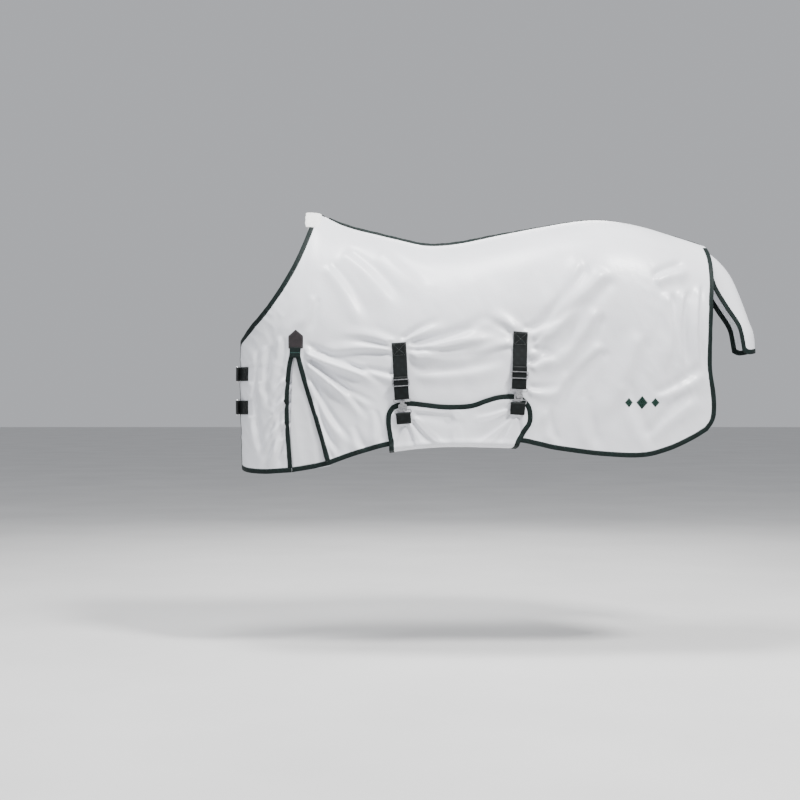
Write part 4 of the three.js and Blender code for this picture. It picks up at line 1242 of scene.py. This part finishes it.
def make_belt(place):
    """One surcingle strap with its belly tab."""
    anchor, bar, foot = (np.array(p, float) for p in zip(*BELTS[place]))
    over = partial(body_point, LEFT)
    middle = EYE_LEVEL + HOOK_RISE
    length = math.dist(anchor, bar)
    path = loop_path(length, {"start": SEWN_LEVEL, "back": middle - LOOP, "front": middle + LOOP}, 75)
    strap = webbing(f"surcingle_webbing_{place}", over, anchor, bar, path)
    dressed(strap, WEBBING, "root", (f"surcingle_strap_{place}",))
    along = (bar - anchor) / length
    sew_box(f"surcingle_stitches_{place}", LEFT, anchor, along, 5, 44, THREAD_LEVEL, "root")
    eye_bar = bar + (foot - bar) * EYE_REACH / math.dist(foot, bar)
    run = math.dist(foot, eye_bar)
    path = loop_path(run, {"start": TAB_LEVEL, "back": TAB_LEVEL, "front": EYE_LEVEL + LOOP}, 30)
    path += [[-1, TAB_LEVEL + WEB + 0.5]]
    tab = webbing(f"belly_webbing_{place}", over, foot, eye_bar, path, fine=3.0)
    dressed(tab, WEBBING, "belly_flap_body", (f"belly_tab_{place}",))
    up, level = (eye_bar - foot) / run, TAB_LEVEL + 1.5 * WEB + 0.9
    sew_box(f"belly_tab_stitches_{place}", LEFT, foot, up, 3, 16, level, "belly_flap_body")


def chest_eye_station(z):
    """Station and level on the left side of the eye's bar that meets a chest strap's hook."""
    bar = body_point(RIGHT, CHEST_BAR, z, CHEST_EYE_LEVEL + HOOK_RISE)
    target = bar + np.array([HOOK_RISE, -EYE_REACH, 0])
    level, s = CHEST_EYE_LEVEL, -320.0
    stations = np.linspace(-350, 20, 1500)
    for _ in range(5):
        points = body_point(LEFT, stations, z, level)
        s = stations[np.argmin(np.abs(points[:, 1] - target[1]) + (stations > -120) * 999)]
        level += float(body_point(LEFT, s, z, level)[0] - target[0])
    return float(s), float(level)


def make_chest_strap(place):
    """One chest strap on the right front, with its tab on the left front."""
    z = CHEST_STRAPS[place]
    middle, loop = CHEST_EYE_LEVEL + HOOK_RISE, LOOP + LOOP_EASE
    path = loop_path(CHEST_ANCHOR - CHEST_BAR,
                     {"start": SEWN_LEVEL, "back": middle - loop, "front": middle + loop}, 80)
    strap = webbing(f"chest_webbing_{place}", partial(body_point, RIGHT), [CHEST_ANCHOR, z], [CHEST_BAR, z],
                    path, width=WEB_WIDTH - 1.5, thick=WEB - LOOP_EASE)
    dressed(strap, WEBBING, "right_front", (f"chest_strap_{place}",))
    sew_box(f"chest_stitches_{place}", RIGHT, [CHEST_ANCHOR, z], (-1, 0), 5, 40, THREAD_LEVEL, "right_front")
    s, level = chest_eye_station(z)
    path = loop_path(CHEST_TAB - s, {"start": SEWN_LEVEL, "back": level - LOOP, "front": level + LOOP}, 50)
    tab = webbing(f"chest_tab_webbing_{place}", partial(body_point, LEFT), [CHEST_TAB, z], [s, z], path,
                  fine=4.0)
    dressed(tab, WEBBING, "left_front", (f"chest_tab_{place}",))
    sew_box(f"chest_tab_stitches_{place}", LEFT, [CHEST_TAB, z], (-1, 0), 4, 30, THREAD_LEVEL, "left_front")


METAL = [f"surcingle_slide_{p}" for p in BELTS]
METAL += [f"belly_{k}_{p}" for k in ("hook", "eye") for p in BELTS]
METAL += [f"chest_{k}_{p}" for k in ("slide", "hook", "eye") for p in CHEST_STRAPS]


def make_metal():
    """The frame's own slides, hooks and eyes, with rounded edges."""
    for name in METAL:
        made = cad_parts[name]
        made.data.materials.clear()
        made.data.materials.append(NICKEL)
        rounded = made.modifiers.new("rounded", "BEVEL")
        rounded.width = 0.7 * MM
        rounded.segments = 3
        rounded.limit_method = "ANGLE"
        rounded.angle_limit = math.radians(35)
        made.modifiers.new("shaded", "WEIGHTED_NORMAL")


# ------------------------------------------------------------------ a plain emblem in embroidery
EMBLEM_X, EMBLEM_Z = 1165, -677
DIAMONDS = ((-46, 15, 17), (0, 20, 24), (46, 15, 17))  # x from the middle one, half width, half height


def make_emblem():
    """Three plain diamonds in satin stitch on the left hip."""
    threads = []
    for dx, wide, high in DIAMONDS:
        for dz in np.arange(-high, high, 1.1):
            half = wide * (1 - abs(dz) / high)
            if half < 1:
                continue
            x, z = EMBLEM_X + dx + np.linspace(-half, half, 9), np.full(9, EMBLEM_Z + dz)
            row = cloth_point(LEFT, x, z, SKIN + 0.9)
            out = cloth_point(LEFT, x, z, SKIN + 2.9) - row
            run = run_of(row)[-1]
            threads.append(stitch_row("satin_stitch", row, out, run - 0.2, run - 0.4, 1.1))
    dressed(join_objects("emblem", threads), EMBLEM, "root")


def build():
    cloths, tapes = {}, {}
    for side_name, side in SIDES.items():
        cloths[side_name] = make_cloth(side_name, side)
        make_insert(side_name, side)
        tapes[side_name] = make_bindings(side_name, side)
        make_patch(side_name, side)
    make_spine_run("spine_tape", 64, 1417, 260, ("spine_binding",))
    make_spine_run("spine_tape_short", 38, 50, 6)
    make_pad()
    flap, flap_tapes = make_belly_flap()
    tail, tail_tapes = make_tail_flap()
    for place in BELTS:
        make_belt(place)
    for place in CHEST_STRAPS:
        make_chest_strap(place)
    make_metal()
    make_emblem()


# ------------------------------------------------------------------ floor and lights
AIM = Vector((0.5, 0, -0.45))
LIGHTS = (  # place, size, watts, colour
    ("key", (2.6, -2.9, 3.3), 0.9, 520, (1.0, 0.99, 0.975)),
    ("fill", (-3.6, -3.0, 0.9), 1.2, 55, (0.93, 0.965, 1.0)),
    ("top", (-0.1, -1.0, 3.4), 1.3, 260, (1.0, 1.0, 1.0)),
    ("back", (0.6, 4.2, 1.8), 2.6, 150, (1.0, 0.99, 0.97)),
)


def make_stage():
    bpy.ops.mesh.primitive_plane_add(size=90, location=(0.6, 0, FLOOR_Z))
    floor = bpy.context.object
    floor.name = "floor"
    floor.data.materials.append(pale_floor())
    for name, place, size, power, colour in LIGHTS:
        made = linked(name, bpy.data.lights.new(name, "AREA"))
        made.data.energy = power
        made.data.size = size
        made.data.color = colour
        made.location = place
        made.rotation_euler = (AIM - Vector(place)).to_track_quat("-Z", "Y").to_euler()
    world = bpy.data.worlds.new("world")
    bpy.context.scene.world = world
    world.use_nodes = True
    background = world.node_tree.nodes["Background"]
    background.inputs["Color"].default_value = (0.93, 0.95, 1.0, 1)
    background.inputs["Strength"].default_value = 0.52


build()
make_stage()
